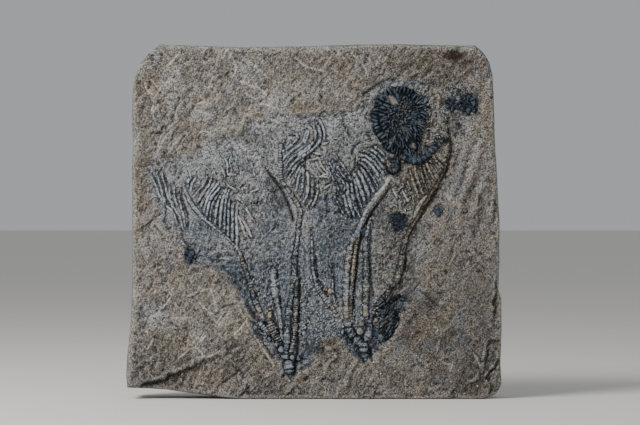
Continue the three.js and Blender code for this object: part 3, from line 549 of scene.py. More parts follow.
# ---- The inner arm of the right sea lily, with its fan ----
# Two columns of calcite discs, one pale and beaded and one stained brown by iron, lie side by side
# and join higher up. The fan opens on the left of the arm, and the arm's pale top edge bounds it.
piece("right_inner_arm_column", [
    ridge([(17.4, 43), (17.2, 48), (17.2, 53), (17.3, 60.8), (18, 71.4), (19.4, 80.5), (21.6, 88)],
          [4, 4.2, 4, 4, 3.8, 3.2], [1.3, 1.3, 1.3, 1.2, 1.2, 1.1], ring=1.05, cleft=0.2,
          tones=(0.9, 0.6, 0.3, 0.5, 0.5, 0.3), shade=(-0.05, 0.05, 0.1), wear=0.85, seed=81, step=0.2,
          groove=0.1),
    ridge([(19.6, 44), (19.7, 50), (19.8, 56), (20.4, 62), (21.2, 71.4), (22.3, 80.5), (24, 88)],
          [2, 2.6, 2.8, 2.6, 2.5, 2.2], [1.3, 1.6, 1.75, 1.6, 1.6], ring=1.05, cleft=0.25,
          tones=(1.0, 0.4, 0.6, 0.9, 1.0, 1.0), shade=(0.1, 0.3, 0.25, 0.1, 0.2, 0.25), wear=0.5, seed=82,
          step=0.2, groove=0.2),
    ridge([(22, 86), (24.4, 92), (27.8, 99.4), (32, 105.8), (36, 110.8), (38.6, 114.6), (40.6, 118.2)],
          [3.4, 3.2, 3.4, 3.4, 3.4, 3, 2.4], [1.3, 1.4, 1.5, 1.5, 1.6, 1.6, 1.2],
          tones=(0.1, 0.1, 0.3, 0.5, 0.6, 0.5), shade=(0.2, 0.15, -0.15, -0.3), wear=0.6, seed=83,
          groove=0.1),
    ridge([(25.4, 91.4), (29, 98.6), (33.4, 104.8), (37.4, 110), (40.2, 114.4)], [1.2, 1.3, 1.3, 1.2, 0.9],
          [1.0, 1.2, 1.2, 1.2, 1.0], tones=(1.0,), shade=(0.35,), seed=84, groove=0.4),
] + fan([
    [(38, 129), (36, 131.5), (33.8, 133.4), (31.5, 134.8)],
    [(37.8, 125.8), (34.8, 129.4), (32, 131.8), (29.5, 133.4)],
    [(37.4, 122.7), (34, 126.8), (31, 129.8), (27.8, 131.8), (25.2, 132.3)],
    [(37.2, 119.6), (33.8, 124.1), (31, 127), (28, 129.1), (24.8, 129.8), (23, 129.6)],
    [(35.8, 116.2), (32.8, 121.3), (30.7, 124.3), (27.8, 126.8), (24.8, 127.7), (23.1, 127.2)],
    [(34.2, 113), (31.3, 118.2), (29.1, 121.6), (26.6, 124.6), (24.3, 125.9), (22.8, 125.4)],
    [(32.2, 110), (30, 115), (27.8, 119), (25.7, 122.1), (23.6, 124)],
    [(29.6, 107.4), (27.8, 112.8), (26, 117), (24.3, 120.2), (22.6, 122.2)],
    [(27.3, 104.6), (25.6, 110), (24, 114.5), (22.6, 118), (21, 120.5)],
    [(25.4, 102), (23.6, 108), (22.6, 112.5), (21.8, 116), (20.2, 119)],
    [(23.6, 99.6), (21.8, 104.5), (20.6, 108.6), (20.3, 113), (19.4, 116.4)],
    [(21.8, 97), (19.6, 103), (18.4, 107.4), (18, 112), (17.6, 115.4)],
    [(19.6, 97), (17.6, 102), (16.6, 106), (15.4, 109)],
    [(25, 96.4), (21.6, 102.4), (18.6, 108)],
], 300, tones=(0.0, 0.25), width=2.2, height=1.2, shade=(0.15,)), blue_calcite, "blue_grey_fossil",
      "right_inner_arm")

# ---- The middle arm of the right sea lily ----
# The real arm is a straight, beaded column of calcite discs, pressed flat in the mud. It runs up
# beside the inner arm and tucks in along its edge.
piece("right_middle_arm_column", [
    ridge([(27.6, 50), (27.8, 55), (27.9, 63.5), (27.8, 73), (27.4, 80), (27.8, 86.5), (29, 91.6),
           (30.4, 96.6)], [3.8, 4.2, 4.2, 4, 3.6, 3, 2.2, 1.6], [1.3, 1.5, 1.6, 1.6, 1.5, 1.4, 1.0, 0.7],
          ring=1.0, cleft=0.2, tones=(0.5, 0.6, 0.3, 0.4, 0.3, 0.3), shade=(0.2,), wear=0.85, seed=91,
          step=0.2, groove=0.1),
    ridge([(28, 42.6), (27.6, 46), (27.4, 50.6)], [3, 3.4, 3.2], [1.0, 1.0, 1.1], ring=2.2, cleft=0.5,
          tones=(0.5,), wear=0.6, seed=92, step=0.25),
], blue_calcite, "blue_grey_fossil", "right_middle_arm")

# ---- The outer arm of the right sea lily, with its sparse fan ----
# The longest calcite column of this lily. Its lower half is blue-grey, and its upper half is
# stained brown and carries thin branches on its left. Its finish is dull, between grey and the
# brown of iron.
pale_calcite = fossil_calcite("pale_calcite", "#adaca4", "#a0937a", "#24262a", "#292219", 0.85, 0.6)
piece("right_outer_arm_column", [
    ridge([(33.4, 48), (36.4, 53), (40.6, 58.4), (43.8, 63)], [3, 3.4, 3.6, 3.4], [0.8, 0.8, 0.8, 0.9],
          ring=1.9, cleft=0.4, tones=(0.5, 0.3), shade=(0.25, 0.45, 0.35), wear=0.8, seed=94, groove=0.1),
    ridge([(43.6, 62), (45.8, 69), (47, 76), (48.2, 82.6), (50, 88)], [3.8, 4.4, 4.4, 3.8, 3],
          [1.1, 1.4, 1.5, 1.5, 1.4], ring=disc_length, cleft=0.12, tones=(0.2, 0.0, 0.0, 0.3),
          shade=(0.2, 0.35, 0.4), wear=0.5, seed=95, groove=0.1),
    ridge([(49.6, 86.6), (52, 91.4), (55.6, 97.6), (58.8, 103.4), (62, 108.4), (65.6, 114), (68.8, 120.4),
           (71.4, 128), (73.2, 134.2)], [2.6, 2.6, 2.6, 2.6, 2.6, 2.4, 2, 1.6, 1.2],
          [1.2, 1.4, 1.5, 1.6, 1.7, 1.6, 1.2, 0.8, 0.5], tones=(0.4, 0.7, 0.9, 0.9, 0.7, 0.5),
          shade=(0.5, 0.55, 0.5, 0.6, 0.7), wear=0.6, seed=96),
    ridge([(53, 95.4), (55, 100.4), (57.4, 104.8), (60.4, 108.4)], [2.2, 3.2, 3, 1.8], [0.8, 1.1, 1.1, 0.7],
          tones=(0.1,), wear=0.4, seed=97, groove=0.0, square=1.0),
] + fan([
    [(48.8, 104), (47.4, 107.6), (45.6, 111.2), (44.2, 113.8)],
    [(50.8, 104.6), (49.8, 108.6), (48.4, 112), (46.6, 116)],
    [(53.2, 105.6), (52.2, 109), (51, 112.6), (49.4, 117.4)],
    [(56.2, 106.4), (54.8, 110), (53.6, 113.8), (52, 118.6), (51, 123)],
    [(58.6, 108), (57, 112.2), (55.4, 116.2), (54.2, 120.8), (53.4, 125.6)],
    [(60.8, 110.4), (58.8, 115), (57.8, 118.6), (56.8, 122.4), (56.2, 126.4)],
    [(62.8, 113), (60.6, 117.6), (59.2, 121.4), (57.8, 126)],
    [(64.8, 116), (62.4, 120), (60.8, 123.6), (59.4, 127.4)],
    [(67, 119.4), (64.8, 122.6), (62.6, 125.6), (60.8, 128.6)],
    [(69.2, 123), (66.8, 125.4), (64.4, 128), (62.6, 130.8)],
], 400, tones=(0.2, 0.35), height=0.65, shade=(0.3,)), pale_calcite, "pale_fossil", "right_outer_arm")

# ---- The sea urchin ----
# A round test, pressed flat, that has turned almost black. Its short spines lie round it like
# spokes, thick outside and fine towards a granular middle, and gaps let the pale stone through.
# Dense calcite turned almost black: a dull sheen and painted highlight on tips, clefts soot-dark with painted
# shade.
navy_calcite = fossil_calcite("navy_calcite", "#4d5f71", "#8b857a", "#08111b", "#14130f", 0.55, 0.1)
urchin_middle = np.array([45.7, 150.6])
rod_rows = [(0.0, 4.8), (4.3, 8.8), (8.4, 12.6), (12.2, 16.4)]  # how far in from the rim each one lies
grain_count, grain_reach = 260, 9
gaps = [((40.6, 160), 1.7, 1.5), ((43, 158.4), 1.5, 1.5), ((40.2, 136.8), 1.3, 1.1),
        ((52.2, 135), 1.6, 1.2), ((54.4, 133.6), 1.2, 1.2)]
dice = np.random.default_rng(7)


def rim_of_urchin(turn):
    """How far the spines reach from the middle: round on most sides, and furthest straight below."""
    return np.interp(np.degrees(turn), [-180, -140, -116, -100, -90, -75, -65, -58, -48, -35, 0, 90, 180],
                     [15.9, 17, 19.6, 21.6, 22.6, 23.4, 22.4, 20, 17.3, 15.2, 15.3, 17, 15.9])


def in_gap(x, z):
    """How far a spot lies inside one of the gaps, from 0 to 1."""
    deep = [1.3 - np.hypot((x - gx) / rx, (z - gz) / rz) for (gx, gz), rx, rz in gaps]
    return np.clip(np.max(deep, axis=0) * 3, 0, 1)


def test_of_urchin():
    """The flat test under the spines: a low disc with a grained top."""
    turn = np.linspace(-np.pi, np.pi, 40, endpoint=False)
    reach = rim_of_urchin(turn) - 0.9
    rim = np.stack([urchin_middle[0] + reach * np.cos(turn), urchin_middle[1] + reach * np.sin(turn)], 1)
    base = plate(rim, 0.5, seed=5, square=0.25, rounding=0)
    x, z = base["points"][:, 0], base["points"][:, 2]
    base["tone"] = in_gap(x, z)
    base["shade"] = 0.85 - 1.5 * in_gap(x, z)
    return base


def ends_through(x, z, half, way):
    """The two ends of a short line through a spot, half its length to each side."""
    right, up = half * math.cos(way), half * math.sin(way)
    return [(x - right, z - up), (x + right, z + up)]


def spines():
    """Rows of thick rods near the rim, finer ones at the right, and short grains in the middle."""
    parts = []
    for near, far in rod_rows:
        turn = -np.pi
        while turn < np.pi:
            coarse = smooth(0.4, -0.3, math.cos(turn + 0.35))
            rim = rim_of_urchin(turn)
            wide = (1.1 + 0.75 * coarse) * dice.uniform(0.75, 1.2)
            turn += (wide + 0.25) / max(rim - (near + far) / 2, 6)
            start, stop = rim - far + dice.uniform(-0.8, 0.8), rim - near - dice.uniform(0, 1.6)
            lean, low = dice.normal(0, 0.2) * 4 / rim, dice.uniform(0, 1)
            bends = [(turn - lean, start), (turn - lean * 0.4, (start + stop) / 2), (turn + lean, stop)]
            ends = [(urchin_middle[0] + math.cos(a) * r, urchin_middle[1] + math.sin(a) * r)
                    for a, r in bends]
            if start < 4.6 or low < 0.04 or in_gap(*ends[1]) > 0.1 or in_gap(*ends[2]) > 0.4:
                continue
            parts.append(ridge(ends, [wide * 0.8, wide, wide * 0.9], [0.9 + 0.9 * low, 1.0 + 0.9 * low],
                               tones=(dice.uniform(0, 0.15),), shade=(dice.uniform(-0.3, 0.4),), wear=0.7,
                               seed=500 + len(parts), step=0.45, groove=0.0))
    for k in range(grain_count):
        turn, out = dice.uniform(-np.pi, np.pi), grain_reach * math.sqrt(dice.uniform(0, 1))
        spot = urchin_middle + (1.6 + out * math.cos(turn), out * math.sin(turn))
        way, half = dice.uniform(0, np.pi), dice.uniform(0.3, 0.9)
        if in_gap(*spot) > 0.1:
            continue
        parts.append(ridge(ends_through(*spot, half, way), [dice.uniform(0.5, 0.9)],
                           [dice.uniform(0.8, 1.5)], tones=(dice.uniform(0.0, 0.7),),
                           shade=(dice.uniform(-0.8, 0.2),), wear=0.4, seed=900 + k, step=0.4, groove=0.0))
    return parts


piece("sea_urchin_spines", [test_of_urchin()] + spines(), navy_calcite, "dark_fossil", "sea_urchin")

# ---- The curled arm under the urchin ----
# The real arm is a tapering tail of dark, lumpy calcite plates, which sweeps round below the
# urchin. The mud that set round it holds it to the bed.
piece("curled_arm_plates", [
    ridge([(46, 129.4), (51, 127.9), (56.8, 128), (61, 130.9), (65.6, 134.8), (68.6, 137.6), (71.2, 139.6)],
          [4, 5.4, 5.6, 5.2, 4.4, 3.2, 1.8], [1.2, 1.6, 1.7, 1.7, 1.6, 1.3, 0.8], ring=2.6, cleft=0.5,
          tones=(0.0, 0.1, 0.2, 0.3), shade=(0.1, 0.0, 0.1, 0.1), wear=0.9, seed=601, step=0.25,
          groove=0.2),
    ridge([(48.4, 132.6), (49.6, 130.4), (51.6, 128.8)], [1.8, 2.2, 2], [1.4, 1.6, 1.5], tones=(0.1,),
          wear=0.9, seed=602, groove=0.0),
    ridge([(57.6, 132.6), (58.6, 130.4), (58.4, 127.6)], [1.6, 2.0, 1.6], [1.4, 1.7, 1.2], tones=(0.1,),
          wear=0.9, seed=603, groove=0.0),
], navy_calcite, "dark_fossil", "curled_arm")

# ---- The small fossils ----
# Bits of other animals: an oval knob, flower-shaped plates, a bead in its own hollow, a dark
# fragment and a pale plate. All are calcite, and lie where the mud caught them.
piece("knob_dome", [
    plate(oval(42.2, 123.9, 4.5, 5.0, 10, 0.3, 3), 1.5, tone=0.4, shade=0.45, seed=21, square=0.7,
          groove=0.3, rugged=0.5),
    plate(oval(40, 124.8, 1.7, 2.8, 15, 0.4, 4), 1.7, tone=0.9, shade=0.1, seed=22, groove=0.0, rugged=0.6),
    plate(oval(43.4, 121.9, 2.4, 1.9, 20, 0.5, 5), 1.85, tone=0.5, shade=0.15, seed=23, groove=0.0,
          rugged=0.6),
    plate(oval(44.2, 126.2, 1.8, 2.0, 0, 0.5, 6), 1.7, tone=0.3, shade=0.3, seed=24, groove=0.0, rugged=0.6),
    plate(oval(47.4, 126.6, 1.6, 1.2, 0, 0.5, 7), 0.9, tone=0.6, shade=0.3, seed=25, groove=0.3, rugged=0.6),
], navy_calcite, "blue_grey_fossil", "knob")


def flower(x, z, lobes, height, seed):
    """A lobed plate: uneven petals at chosen angles round a middle."""
    petals = [plate(oval(x, z, 3.2, 2.8, 0, 0.5, seed), height * 0.9, shade=0.5, seed=seed, groove=0.3,
                    rugged=0.9)]
    for k, (angle, reach, length, wide) in enumerate(lobes):
        turn = math.radians(angle)
        petals.append(plate(
            oval(x + math.cos(turn) * reach, z + math.sin(turn) * reach, length * 1.5, wide * 1.5, angle,
                 0.9, seed + k),
            height * dice.uniform(0.6, 1.1), shade=dice.uniform(-0.2, 0.5), seed=seed + k, square=0.6,
            groove=0.2, rugged=0.9))
    return petals


big_lobes = [(70, 3.4, 1.6, 1.2), (35, 4.2, 1.5, 0.9), (-5, 4.0, 1.6, 1.0), (-45, 4.2, 1.7, 1.0),
             (-80, 4.2, 1.4, 1.1), (115, 3.0, 1.3, 0.9), (160, 2.9, 1.4, 1.0), (-125, 3.2, 1.3, 1.0)]
small_lobes = [(20, 2.8, 1.3, 0.9), (80, 2.6, 1.1, 0.9), (150, 2.8, 1.2, 1.0), (-150, 3.2, 1.2, 0.8),
               (-90, 2.8, 1.1, 0.9), (-35, 2.7, 1.2, 0.9)]
flowers = flower(81.4, 157.6, big_lobes, 1.25, 31) + flower(73.8, 157.2, small_lobes, 1.0, 51)
curl = ridge([(77.9, 164.5), (76.9, 164.2), (76.7, 163), (77.4, 162.2), (78.4, 162.3)], [0.7, 0.8, 0.7],
             [0.7], shade=(0.1,), seed=58, step=0.3)
piece("lobed_plates_flowers", flowers + [curl], navy_calcite, "dark_fossil", "lobed_plates")
bead_corners = [(66, 97.6), (68.6, 99.6), (68.9, 101.8), (66.8, 103.5), (64, 102.8), (63.5, 100)]
piece("bead_dome", [plate(bead_corners, 1.5, shade=-0.05, seed=61, rounding=1, rugged=0.9)], navy_calcite,
      "dark_fossil", "bead")
piece("left_fragment_lumps", [
    plate(oval(*middle, *half, turn, 0.5, 1 + k), height, shade=shade, seed=71 + k, rugged=0.6, groove=0.3)
    for k, (middle, half, turn, height, shade) in enumerate([
        ((-66.4, 74.6), (2.4, 2.4), 20, 1.1, 0.3), ((-65.2, 77.4), (2.0, 2.6), -25, 1.3, 0.15),
        ((-67.6, 78.4), (1.6, 1.8), 0, 1.0, 0.35), ((-63.2, 76), (1.0, 1.4), 10, 0.8, 0.2),
    ])
], navy_calcite, "dark_fossil", "left_fragment")
piece("loose_plate_dome", [plate(oval(8.6, 57.4, 1.3, 1.7), 1.2, tone=0.9, shade=-0.4, seed=81)],
      pale_calcite, "pale_fossil", "loose_plate")

# ---- The needled patch ----
# A round crust of fine dark needles that point outwards, about as wide as a thumbnail. It is thin
# calcite, and lies flat on the bed between two arms.
patch_middle = (44.7, 94.8)
patch_half, needle_count, golden_turn = 4.3, 74, 2.4
needles = [plate(oval(*patch_middle, patch_half, patch_half, 0, 0.3, 6), 0.5, shade=0.7, seed=65,
                 square=0.3, groove=0.0, rugged=0.4)]
for k in range(needle_count):
    place, long, dim = scatter(np.full(3, k), np.arange(1, 4), 66)
    turn, near = golden_turn * k, 0.4 + 3.2 * math.sqrt(place)
    far = min(near + 1.3 + 1.1 * long, 5.5 + 2 * max(math.sin(turn), 0))
    ends = [(patch_middle[0] + math.cos(turn) * out, patch_middle[1] + math.sin(turn) * out)
            for out in (near, far)]
    needles.append(ridge(ends, [0.75, 0.6], [0.8, 0.7], tones=(0.1,), shade=(0.7 * dim,), wear=0.4,
                         seed=670 + k, step=0.5, groove=0.0))
piece("needled_patch", needles, navy_calcite, "dark_fossil")

# ---- Loose debris on the bed ----
# Scraps of side branches and single discs, spilled over the bed before it set. They are the same
# calcite as the arms, and are shorter than 5 mm.


def scraps(areas, seed):
    """Many little rods with flat tops, scattered in oval areas and lying at a slight slope."""
    roll = np.random.default_rng(seed)
    rows = []
    for ax, az, rx, rz, count, length, width, lean in areas:
        turn, out = roll.uniform(0, 2 * np.pi, count), np.sqrt(roll.uniform(0, 1, count))
        rows.append(np.stack([
            ax + rx * out * np.cos(turn), az + rz * out * np.sin(turn),
            length * roll.uniform(0.5, 1.3, count), width * roll.uniform(0.7, 1.25, count),
            np.radians(lean + roll.normal(0, 38, count)), roll.uniform(0.2, 0.7, count)], 1))
    sx, sz, long, wide, way, tall = np.vstack(rows).T[:, :, None]
    corner_along = np.array([-1, 1, 1, -1, -0.8, 0.8, 0.8, -0.8])
    corner_across = np.array([-1, -1, 1, 1, -0.45, -0.45, 0.45, 0.45])
    is_top = np.array([0, 0, 0, 0, 1, 1, 1, 1])
    along, aside = corner_along * long / 2, corner_across * wide / 2
    points = np.stack([
        sx + along * np.cos(way) - aside * np.sin(way),
        bed_y + sunk * 0.5 - is_top * (tall + sunk * 0.5) + 0 * long,
        sz + along * np.sin(way) + aside * np.cos(way)], 2).reshape(-1, 3)
    box = np.array([[3, 2, 1, 0], [4, 5, 6, 7], [0, 1, 5, 4], [1, 2, 6, 5], [2, 3, 7, 6], [3, 0, 4, 7]])
    count = len(sx)
    return {
        "points": points,
        "faces": (box[None] + np.arange(count)[:, None, None] * 8).reshape(-1, 4).tolist(),
        # Tops are painted paler than the sides, as painted highlight.
        "crest_wear_and_painted_light": np.tile(0.25 + 0.65 * is_top, count),
        "tone": np.repeat(roll.uniform(0, 0.7, count), 8),
        "shade": np.repeat(roll.uniform(-0.35, 0.35, count), 8),
    }


piece("bed_scraps", [scraps([
    (-33, 112, 11, 13, 240, 2.6, 0.55, 60), (-35, 95, 8, 9, 90, 2.6, 0.6, -55),
    (-33, 128, 12, 8, 120, 1.8, 0.6, 50), (-8, 146, 13, 4.5, 90, 2.0, 0.55, 40),
    (7, 119, 7, 13, 170, 2.8, 0.6, 110), (19, 142, 9, 8, 90, 2.0, 0.55, 40),
    (66, 147, 6, 11, 120, 1.8, 0.6, 80), (47, 106, 8, 7, 70, 2.6, 0.6, 70),
    (60, 160, 4, 8, 50, 1.6, 0.6, 60), (76, 165, 7, 3.4, 46, 1.4, 0.6, 60),
    (-20, 84, 11, 16, 110, 1.8, 0.5, 60), (12, 80, 7, 20, 130, 1.8, 0.5, 80),
    (38, 75, 6, 22, 110, 1.6, 0.55, 80), (-52, 78, 10, 7, 60, 1.6, 0.5, 40),
    (0, 48, 13, 18, 260, 1.3, 0.95, 60), (-26, 58, 8, 10, 90, 1.4, 0.9, 60),
    (24, 48, 5, 12, 80, 1.3, 0.9, 80), (36, 46, 6, 9, 80, 1.6, 0.9, 50), (-24, 32, 5, 7, 60, 1.4, 0.9, 130),
    (8, 40, 8, 7, 90, 1.3, 1.0, 60), (-44, 122, 6, 9, 60, 2.6, 0.6, 80),
], 41)], blue_calcite, "blue_grey_fossil")

# A dark crust of crushed plates beside the right cup, in strokes that lean to the right, and a
# spindle of the same beside a groove of the bed.
crust_patches = [(39.6, 49.4, 6.4, 4), (40.6, 40, 4.2, 8), (37, 42, 4.2, 6)]
stroke_count = 54


def stroke(k):
    """One sliver of the crust, from a random spot on one of its three patches."""
    px, pz, rx, rz = crust_patches[k % 3]
    turn, out = dice.uniform(-np.pi, np.pi), math.sqrt(dice.uniform(0, 1))
    mx, mz = px + rx * out * math.cos(turn), pz + rz * out * math.sin(turn)
    way, half = math.radians(dice.normal(50, 16)), dice.uniform(0.9, 2.4)
    return ridge(ends_through(mx, mz, half, way), [dice.uniform(0.9, 1.6)], [dice.uniform(0.9, 1.6)],
                 tones=(dice.uniform(0.0, 0.5),), shade=(dice.uniform(-0.3, 0.5),), wear=0.9, seed=1200 + k,
                 step=0.5, groove=0.0)


piece("bed_crust", [
    ridge([(46.4, 55.4), (42.6, 53), (38.4, 49.6), (34.4, 45.6), (31.4, 42.4)], [2.6, 4.2, 5, 4, 2.4],
          [0.7, 0.9, 0.9, 0.8, 0.7], ring=2.2, cleft=0.5, tones=(0.1, 0.4), shade=(0.6, 0.5), wear=1.2,
          seed=651, groove=0.2),
    ridge([(42.6, 48), (44, 43.4), (42.8, 38.4), (39.6, 33.6), (36.4, 30.4)], [1.8, 3.2, 3.6, 3.4, 2],
          [0.6, 0.8, 0.9, 0.8, 0.6], ring=2.4, cleft=0.5, tones=(0.1,), shade=(0.6, 0.5), wear=1.2,
          seed=652, groove=0.2),
    ridge([(36.4, 46.4), (38.4, 42.6), (38, 38.6), (35.4, 34.6)], [3, 3.6, 3.4, 2], [0.7, 0.9, 0.9, 0.6],
          ring=2.1, cleft=0.5, tones=(0.2,), shade=(0.6, 0.5), wear=1.2, seed=653, groove=0.2),
    ridge([(45.6, 53.4), (48.4, 53), (51.6, 52)], [2.2, 2.0, 1.4], [0.7, 0.8, 0.5], ring=2, cleft=0.5,
          tones=(0.1,), shade=(0.1,), wear=1.2, seed=654, groove=0.2),
    ridge([(-25.4, 118.6), (-22.4, 112.6), (-19.4, 107.4), (-16.6, 102)], [1.4, 3.8, 4.2, 1.8],
          [0.5, 0.9, 0.9, 0.5], ring=1.7, cleft=0.5, tones=(0.5, 0.2), shade=(0.0, 0.2), wear=1.3,
          seed=655),
] + [stroke(k) for k in range(stroke_count)], navy_calcite, "dark_fossil")

# Longer sticks, pale and dark, each a side branch that broke away whole.
sticks = [
    [(-46, 119.5), (-41, 119.5)], [(-46, 114), (-41, 111)], [(-41.5, 108), (-37.5, 104.5)],
    [(-40, 97), (-37.5, 91)], [(-37, 95), (-33, 86)], [(-34, 110), (-29, 112)], [(8, 120), (3.5, 118.6)],
    [(5, 111.5), (9, 114.5)], [(-3, 127), (3, 128.4)], [(-0.6, 131), (4.8, 130.2)],
    [(4.6, 135.6), (7.4, 136.4)], [(42, 112), (44.5, 107)], [(47, 111), (50.5, 105)],
    [(1, 126.4), (3, 122.4), (6, 119.4)], [(3, 127), (5, 123), (8, 120)],
    [(-5, 136), (-3.2, 140), (-2.6, 143.4)], [(-8.6, 129), (-4.4, 132), (-1.4, 134)],
    [(2.4, 118.4), (8, 118.2)],
]
dark_sticks = [
    [(8, 126), (12, 120), (16.4, 114), (15.4, 110)], [(10.4, 127), (14, 121.4), (18, 116)],
    [(6.4, 124), (10, 118), (13, 112.6), (12.6, 108)], [(12, 129), (16, 123.4), (19.4, 119)],
    [(16.2, 106.4), (18, 101), (19.4, 97)], [(11, 108), (13.6, 103), (16, 98)],
]
piece("bed_sticks", [
    ridge(path, [1.3, 1.5, 1.2], [0.9, 1.1, 0.8], ring=1.5, cleft=0.08, tones=(0.7, 0.5), shade=(-0.2,),
          wear=0.4, seed=700 + i, groove=0.8)
    for i, path in enumerate(sticks)
] + [
    ridge(path, [1.4, 1.7, 1.4], [1.2, 1.4, 1.1], ring=1.5, cleft=0.1, tones=(0.1,), shade=(0.3,), wear=0.5,
          seed=730 + i, groove=0.9)
    for i, path in enumerate(dark_sticks)
], blue_calcite, "pale_fossil")

# ---- The stone slab ----
# The real slab is a flake of muddy limestone, split along its bedding. The face is rough and
# streaked, the bed is a thin blue-grey layer laid bare in it, the edges are broken by hand, and the
# back is flat. The foot is level, so the slab stands.
bed_depth = 1.25
stone_y = bed_y - bed_depth
bottom, top = cad_box[0][2] / MM, cad_box[1][2] / MM
front_y, back_y = cad_box[0][1] / MM, cad_box[1][1] / MM
front_gap, back_gap = 0.2, 1.2  # how far the face and the broken edge stay inside the flat box

foot = [(-99.2, 6.1), (-79, 5), (-60.4, 2.4), (-42, 0), (-7, 0), (46, 0), (89, 0), (96.8, 2.4), (98.6, 5)]
right_edge = [(98.6, 5), (100, 7.7), (99.5, 21), (100, 37), (100, 53), (98.4, 58), (98.9, 74), (98.9, 98),
              (97.9, 114), (96.8, 132.5), (96.3, 143), (95.8, 162), (95.2, 172.4), (93.6, 179.3),
              (91.5, 182.8)]
top_edge = [(-87.4, 184.4), (-85.4, 186.2), (-81.7, 188.8), (-68, 188.3), (-39, 187.3), (-7, 187.8),
            (25, 188.8), (46, 188.8), (66, 188.5), (86, 188.3), (89, 185.8), (91.5, 182.8)]
left_edge = [(-99.2, 6.1), (-100, 13), (-99.7, 21), (-98.7, 29), (-97.6, 42), (-97, 53), (-96.5, 79),
             (-97, 106), (-96.5, 132.5), (-97, 154), (-96.5, 164), (-95.5, 170), (-93.4, 178), (-89, 183),
             (-87.4, 184.4)]
bed_outline = [
    (-87, 124.6), (-87, 116.6), (-83.8, 108.6), (-82, 100.7), (-79, 90), (-69.5, 82), (-65.7, 72),
    (-57.8, 73), (-49.8, 68.8), (-43.4, 60.8), (-36.5, 52.9), (-31, 34.3), (-22, 26), (-17, 17),
    (-12, 11.5), (-7.3, 16.7), (-0.9, 22), (4.4, 30.5), (12.9, 32), (21, 25.2), (27, 19.5), (32, 24),
    (40.5, 32), (47, 45), (52, 53), (50.5, 58), (51.5, 74), (54, 87.4), (59.5, 98), (67, 108.6),
    (71.8, 117.7), (76, 128.3), (78, 138), (80.3, 145.8), (87.3, 152.7), (88.3, 160), (82, 167),
    (72.4, 170.8), (59, 169.7), (41.6, 171.3), (35.2, 169.7), (30.9, 166), (26.2, 163.3), (24.6, 159),
    (21.9, 154.9), (13.9, 152.2), (2.3, 152.2), (-7.3, 151), (-20.6, 152), (-27.5, 150), (-34, 145.8),
    (-39, 140.5), (-53.5, 136.8), (-60.4, 132.5), (-68.4, 128.3), (-73.7, 129.9), (-81.7, 128.8)]
sharp_ledge = [(19, 153.8), (21.9, 154.9), (24.6, 159), (26.2, 163.3), (30.9, 166), (35.2, 169.7),
               (40, 171.3)]
plain_ledge = [(-17, 151.6), (-7.3, 151), (2.3, 152.2), (13.9, 152.2)]


def distance(x, z, line, reach):
    """Distance from each spot to a line in millimetres, and far away beyond reach."""
    away = np.full(x.shape, 99.0)
    low, high = line.min(0) - reach, line.max(0) + reach
    near = (x > low[0]) & (x < high[0]) & (z > low[1]) & (z < high[1])
    if near.any():
        px, pz = x[near][:, None], z[near][:, None]
        start, run = line[:-1], np.diff(line, axis=0)
        t = ((px - start[:, 0]) * run[:, 0] + (pz - start[:, 1]) * run[:, 1]) / ((run ** 2).sum(1) + 1e-9)
        t = np.clip(t, 0, 1)
        gap = (px - start[:, 0] - t * run[:, 0]) ** 2 + (pz - start[:, 1] - t * run[:, 1]) ** 2
        away[near] = np.sqrt(gap.min(1))
    return away


def inside(x, z, outline, reach=200.0):
    """Distance into an outline: above 0 inside it and below 0 outside."""
    line = np.array(outline + outline[:1], float)
    crossings = np.zeros(x.shape, int)
    for (x0, z0), (x1, z1) in zip(line, line[1:]):
        spans = (z0 > z) != (z1 > z)
        crossings += spans & (x < (x1 - x0) * (z - z0) / (z1 - z0 + 1e-9) + x0)
    return distance(x, z, line, reach) * np.where(crossings % 2, 1, -1)


def even(points, count):
    """Evenly spaced spots along straight stretches."""
    p = np.array(points, float)
    reach = np.concatenate([[0], np.cumsum(np.hypot(*np.diff(p, axis=0).T))])
    spots = np.linspace(0, reach[-1], count)
    return np.stack([np.interp(spots, reach, p[:, 0]), np.interp(spots, reach, p[:, 1])], 1)


def cells(x, z, size, seed):
    """Distance to the nearest of many scattered spots, for pebbly grain: 0 at a spot, about 1 between."""
    x, z = x / size, z / size
    column, row = np.floor(x), np.floor(z)
    nearest = np.full(x.shape, 9.0)
    for i in (-1, 0, 1):
        for j in (-1, 0, 1):
            sx = column + i + scatter(column + i, row + j, seed)
            sz = row + j + scatter(column + i, row + j, seed + 9)
            nearest = np.minimum(nearest, np.hypot(x - sx, z - sz))
    return nearest


across_count, up_count = 280, 262
bottom_line, top_line = even(foot, across_count), even(top_edge, across_count)
left_line, right_line = even(left_edge, up_count), even(right_edge, up_count)
s = np.linspace(0, 1, across_count)[None, :, None]
t = np.linspace(0, 1, up_count)[:, None, None]
grid = ((1 - t) * bottom_line[None] + t * top_line[None] + (1 - s) * left_line[:, None]
        + s * right_line[:, None]
        - (1 - t) * ((1 - s) * bottom_line[0] + s * bottom_line[-1])
        - t * ((1 - s) * top_line[0] + s * top_line[-1]))
x, z = grid[..., 0], grid[..., 1]
outline = np.vstack([bottom_line, right_line[1:], top_line[::-1][1:], left_line[::-1][1:]])


